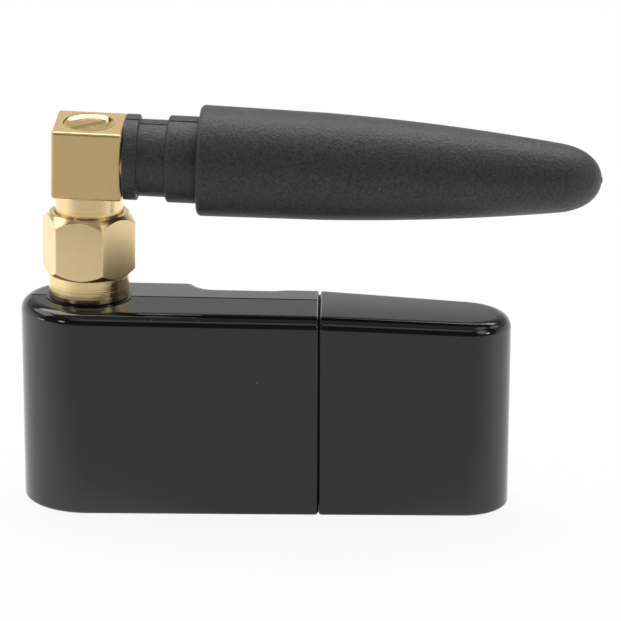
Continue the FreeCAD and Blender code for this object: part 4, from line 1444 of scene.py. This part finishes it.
@dataclass
class SeamRim:
    """Low rim on the housing's end that the cap butts against, so that no light passes the seam;
    its darker black is painted seam shade.
    """

    book: FinishBook
    root: float = 0.3
    clearance: float = 0.02
    sides: tuple[float, float] = (0.35, 0.45)
    ends: tuple[float, float] = (0.06, 0.45)
    width: float = 1.2
    corner: float = 0.5
    steps: int = 4

    def _loop(self, x: float, inset: float) -> list[Vector]:
        """Return one ring of points round the seam.

        Args:
            x: Place along the stick.
            inset: How far the ring lies inside the rim's outer edge.

        Returns:
            The corners of a rounded rectangle, in order.
        """
        low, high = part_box("usb_cap")
        front, back = low[1] / MM + self.sides[0] + inset, high[1] / MM - self.sides[1] - inset
        bottom, top = low[2] / MM + self.ends[0] + inset, high[2] / MM - self.ends[1] - inset
        corners = [(front, bottom), (back, bottom), (back, top), (front, top)]
        outline = rounded_outline([(y, z, self.corner) for y, z in corners], self.steps)
        return [Vector((x, y, z)) for y, z in outline]

    def rim(self) -> bpy.types.Object:
        """Build the rim.

        Returns:
            The rim as one closed mesh.
        """
        cap_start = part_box("usb_cap")[0][0] / MM
        root, end = cap_start - self.root, cap_start - self.clearance
        maker = MeshMaker(Matrix.Identity(4))
        rings = ((root, 0), (end, 0), (end, self.width), (root, self.width))
        maker.loft([self._loop(x, inset) for x, inset in rings], closed=True)
        return maker.finish("seam_rim")

    def build(self) -> list[bpy.types.Object]:
        """Build and dress the rim.

        Returns:
            The rim, riding on the stick.
        """
        rim = self.rim()
        self.book.dress(rim, Slot.HOUSING)
        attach(rim, Body.STICK.value)
        return [rim]


@dataclass
class AntennaSleeve:
    """Small moulding nub on the tip of the sleeve, which itself is a node of the part."""

    book: FinishBook
    places: PortPlaces
    tip: float = 48.85
    nub_radius: float = 0.4
    nub_height: float = 0.07
    nub_taper: float = 0.7
    sunk: float = 0.5
    foot_round: float = 0.02
    top_round: float = 0.08
    round_steps: int = 3
    steps: int = 32

    def nub(self) -> bpy.types.Object:
        """Build the nub.

        Returns:
            The nub, whose lower part is sunk in the sleeve.
        """
        low, high = self.tip - self.sunk, self.tip + self.nub_height
        maker = MeshMaker(self.places.arm())
        maker.lathe(rounded_outline([
            (low, 0.0, 0), (low, self.nub_radius, self.foot_round),
            (high, self.nub_radius * self.nub_taper, self.top_round), (high, 0.0, 0),
        ], self.round_steps), Axis.ARM, self.steps)
        return maker.finish("sleeve_tip_nub")

    def build(self) -> list[bpy.types.Object]:
        """Build and dress the nub.

        Returns:
            The nub, riding on the antenna.
        """
        nub = self.nub()
        self.book.dress(nub, Slot.ANTENNA)
        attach(nub, Body.ANTENNA.value)
        return [nub]


@dataclass
class PartNodes:
    """Nodes of the part that keep their own shape and get a finish."""

    book: FinishBook
    hidden: tuple[str, ...] = ("jack_body", "coupling_nut", "antenna_base", "elbow_cover")

    def build(self) -> list[bpy.types.Object]:
        """Dress every node.

        Returns:
            The nodes that stay in view.
        """
        for name in frame["nodes"]:
            self.book.dress_node(name)
        return [node for name, node in sorted(frame["nodes"].items()) if name not in self.hidden]


# Studio


class LightTree(Wiring):
    """Node tree of the world or the floor, with ways to shape brightness."""

    def __init__(self, tree: bpy.types.NodeTree) -> None:
        """Empty the tree."""
        super().__init__(tree)
        tree.nodes.clear()

    def length(self, *sides: Socket) -> Socket:
        """Return the length of the diagonal over two sides."""
        squares = [self.reckon("MULTIPLY", side, side) for side in sides]
        return self.reckon("SQRT", self.reckon("ADD", *squares))

    def ease(self, value: Socket, given: tuple[float, float],
             wanted: tuple[float, float]) -> Socket:
        """Carry a value smoothly from one range to another.

        Args:
            value: The value.
            given: The range that it comes from; outside it, the result stays at its ends.
            wanted: The range that it is carried to.

        Returns:
            The carried value.
        """
        ranges = dict(zip(("From Min", "From Max", "To Min", "To Max"), (*given, *wanted)))
        made = self.node("ShaderNodeMapRange", {"Value": value, **ranges},
                         interpolation_type="SMOOTHSTEP")
        return made.outputs["Result"]

    def chosen(self, factor: Socket, first: object, second: object) -> Socket:
        """Return the first number, or the second where the factor is 1."""
        given = {"Factor": factor, "A": first, "B": second}
        return self.node("ShaderNodeMix", given, data_type="FLOAT").outputs["Result"]


@dataclass(frozen=True)
class Glow:
    """Soft-edged bright patch of the surroundings; azimuth 0 lies behind and 90 on the right."""

    azimuth: float
    elevation: float
    half_width: float
    half_height: float
    level: float
    softness: float = 0.3

    def shine(self, lights: LightTree, way: Socket) -> Socket:
        """Work out the brightness that the patch adds in a direction.

        Args:
            lights: The world's tree.
            way: The direction.

        Returns:
            The brightness.
        """
        ahead = towards(self.azimuth, self.elevation)
        turn = math.radians(self.azimuth)
        right = Vector((math.cos(turn), -math.sin(turn), 0))
        across = lights.dot(way, right / math.sin(math.radians(self.half_width)))
        upward = lights.dot(way, right.cross(ahead) / math.sin(math.radians(self.half_height)))
        inside = lights.ease(lights.length(across, upward), (1 - self.softness, 1 + self.softness),
                             (self.level, 0.0))
        facing = lights.reckon("GREATER_THAN", lights.dot(way, ahead), 0.0)
        return lights.reckon("MULTIPLY", inside, facing)


@dataclass(frozen=True)
class Surroundings:
    """World of the studio: white to the camera, and else a dim room with a pale wall and glows.

    The two tables give a grey for each elevation; their first rows are the lowest and the highest.
    """

    behind: tuple[tuple[float, float], ...] = (
        (0, 1.0), (90, 0.35), (12, 1.0), (14, 0.82), (17, 0.6), (20, 0.44), (26, 0.45), (35, 0.22),
        (45, 0.18),
    )
    front: tuple[tuple[float, float], ...] = ((0, 0.1), (90, 0.3), (36, 0.06), (60, 0.25))
    front_to_behind: tuple[float, float] = (-0.25, 0.15)
    glows: tuple[Glow, ...] = (
        Glow(180, 47.5, 24, 6.5, 0.75), Glow(-150, 59, 14, 4, 0.4), Glow(112, 58, 12, 8, 1.0),
        Glow(-97, 1.8, 8, 2, 6.5), Glow(-136, 21, 5, 3, 10.0), Glow(120, 15, 5, 3, 11.0),
        Glow(132, 30, 11, 14, 1.7),
    )

    def _by_height(self, lights: LightTree, height: Socket,
                   stops: Sequence[tuple[float, float]]) -> Socket:
        """Return a grey that changes with the elevation.

        Args:
            lights: The world's tree.
            height: Sine of the elevation.
            stops: Elevations in degrees and their greys.

        Returns:
            The grey.
        """
        ramp = lights.node("ShaderNodeValToRGB", {"Fac": height})
        elements = ramp.color_ramp.elements
        for index, (angle, grey) in enumerate(stops):
            place = math.sin(math.radians(angle))
            element = elements[index] if index < 2 else elements.new(place)
            element.position = place
            element.color = (grey, grey, grey, 1)
        return ramp.outputs["Color"]

    def build(self) -> None:
        """Make the world and give it to the scene."""
        world = bpy.data.worlds.new("studio")
        bpy.context.scene.world = world
        world.use_nodes = True
        lights = LightTree(world.node_tree)
        way = lights.node("ShaderNodeTexCoord").outputs["Generated"]
        height = lights.dot(way, UP)
        side = lights.ease(lights.dot(way, Vector((0, 1, 0))), self.front_to_behind, (0.0, 1.0))
        level = lights.chosen(side, self._by_height(lights, height, self.front),
                              self._by_height(lights, height, self.behind))
        for glow in self.glows:
            level = lights.reckon("ADD", level, glow.shine(lights, way))
        seen = lights.node("ShaderNodeLightPath").outputs["Is Camera Ray"]
        sky = lights.node("ShaderNodeBackground", {"Color": lights.chosen(seen, level, 1.0)})
        lights.node("ShaderNodeOutputWorld", {"Surface": sky.outputs[0]})


@dataclass(frozen=True)
class Floor:
    """White floor that keeps the part's shadow and mirrors as a pale, unevenly lit sheet."""

    size: float = 4000.0
    colour: Colour = (0.85, 0.85, 0.85)
    middle: tuple[float, float] = (20.0, 0.0)
    front_level: float = 0.69
    side_level: float = 1.22
    front_share: tuple[float, float] = (0.09, 0.82)
    glow_share: float = 0.9
    spill_share: float = 0.35

    def _mirrored(self, lights: LightTree) -> Socket:
        """Work out the brightness that glossy surfaces see.

        Args:
            lights: The floor's tree.

        Returns:
            The brightness, which is lower in front of the part.
        """
        where = lights.node("ShaderNodeTexCoord").outputs["Object"]
        place = lights.node("ShaderNodeSeparateXYZ", {0: where}).outputs
        x = lights.reckon("SUBTRACT", place["X"], self.middle[0] * MM)
        y = lights.reckon("SUBTRACT", place["Y"], self.middle[1] * MM)
        frontal = lights.reckon("MULTIPLY", lights.reckon("DIVIDE", y, lights.length(x, y)), -1.0)
        return lights.ease(frontal, self.front_share, (self.side_level, self.front_level))

    def _paint(self) -> bpy.types.Material:
        """Build the floor's material.

        Returns:
            The material, which shines white to the camera and dimly elsewhere.
        """
        material = bpy.data.materials.new("white floor")
        material.use_nodes = True
        lights = LightTree(material.node_tree)
        path = lights.node("ShaderNodeLightPath").outputs
        clear = lights.reckon("MAXIMUM", path["Is Camera Ray"], path["Is Transmission Ray"])
        glowing = lights.reckon("MAXIMUM", lights.reckon("MULTIPLY", clear, self.glow_share),
                                path["Is Glossy Ray"])
        spill = lights.reckon("MULTIPLY", path["Is Diffuse Ray"], self.spill_share)
        level = lights.chosen(path["Is Glossy Ray"], 1.0, self._mirrored(lights))
        white = lights.node("ShaderNodeEmission", {"Strength": level})
        matt = lights.node("ShaderNodeBsdfDiffuse", {"Color": (*self.colour, 1)})
        mix = lights.node("ShaderNodeMixShader", {
            0: lights.reckon("MAXIMUM", glowing, spill), 1: matt.outputs[0], 2: white.outputs[0],
        })
        lights.node("ShaderNodeOutputMaterial", {"Surface": mix.outputs[0]})
        return material

    def build(self) -> None:
        """Lay the floor."""
        half = self.size / 2 * MM
        mesh = bpy.data.meshes.new("floor")
        corners = [(-half, -half, 0), (half, -half, 0), (half, half, 0), (-half, half, 0)]
        mesh.from_pydata(corners, [], [(0, 1, 2, 3)])
        mesh.materials.append(self._paint())
        floor = linked("floor", mesh)


@dataclass(frozen=True)
class SoftBox:
    """Rectangular lamp that hangs in a direction from the part and has an even brightness."""

    name: str
    azimuth: float
    elevation: float
    half_width: float
    half_height: float
    level: float
    away: float = 420.0

    def hang(self, aim: Vector) -> None:
        """Hang the lamp so that it faces a point.

        Args:
            aim: The point.
        """
        ahead = towards(self.azimuth, self.elevation)
        data = bpy.data.lights.new(self.name, "AREA")
        data.shape = "RECTANGLE"
        data.size = 2 * self.away * math.tan(math.radians(self.half_width)) * MM
        data.size_y = 2 * self.away * math.tan(math.radians(self.half_height)) * MM
        data.energy = self.level * math.pi * data.size * data.size_y
        basis = (-ahead).to_track_quat("-Z", "Y").to_matrix().to_4x4()
        place = Matrix.Translation((aim + ahead * self.away) * MM)
        linked(self.name, data).matrix_world = place @ basis


@dataclass
class Studio:
    """White floor, pale surroundings, lamps and the camera."""

    lens: float = 194.3
    sensor: float = 36.0
    clip: tuple[float, float] = (10.0, 20000.0)
    distance: float = 324.0
    elevation: float = 16.9
    azimuth: float = 0.54
    roll: float = -0.2
    target: tuple[float, float, float] = (21.39, 0.0, 18.71)
    lamps: tuple[SoftBox, ...] = (
        SoftBox("overhead lamp", 0, 69, 35, 18, 3.8),
        SoftBox("left lamp", -78, 40, 18, 10, 2.3),
        SoftBox("right lamp", 80, 38, 10, 8, 1.2),
    )

    def camera(self) -> None:
        """Place the camera where the photograph was taken from."""
        ahead = towards(-self.azimuth, -self.elevation)
        turn = math.radians(self.azimuth)
        right = Vector((math.cos(turn), math.sin(turn), 0))
        up = right.cross(ahead)
        spin = Matrix.Rotation(math.radians(self.roll), 3, ahead)
        data = bpy.data.cameras.new("view")
        data.lens = self.lens
        data.sensor_width = self.sensor
        data.clip_start, data.clip_end = (reach * MM for reach in self.clip)
        basis = Matrix((spin @ right, spin @ up, -ahead)).transposed().to_4x4()
        place = Matrix.Translation((Vector(self.target) - ahead * self.distance) * MM)
        holder = linked("view", data)
        holder.matrix_world = place @ basis
        bpy.context.scene.camera = holder

    def build(self) -> None:
        """Set up the whole studio."""
        bpy.context.scene.view_settings.view_transform = "Standard"
        Floor().build()
        Surroundings().build()
        for lamp in self.lamps:
            lamp.hang(Vector(self.target))
        self.camera()


def main() -> None:
    """Build, dress and report every piece, then the studio."""
    logging.basicConfig(level=logging.INFO, format="%(name)s: %(message)s")
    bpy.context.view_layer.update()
    book = FinishBook()
    places = PortPlaces()
    thread = ScrewThread()
    assemblies = (
        AntennaPort(book, places, thread), CouplingNut(book, places, thread),
        ElbowCover(book, places), AntennaFoot(book, places), AntennaSleeve(book, places),
        SeamRim(book), PartNodes(book),
    )
    for assembly in assemblies:
        kind = type(assembly).__name__
        for piece in assembly.build():
            LOG.info("%s: %s, %d faces", kind, piece.name, len(piece.data.polygons))
    Studio().build()


if __name__ == "__main__":
    main()
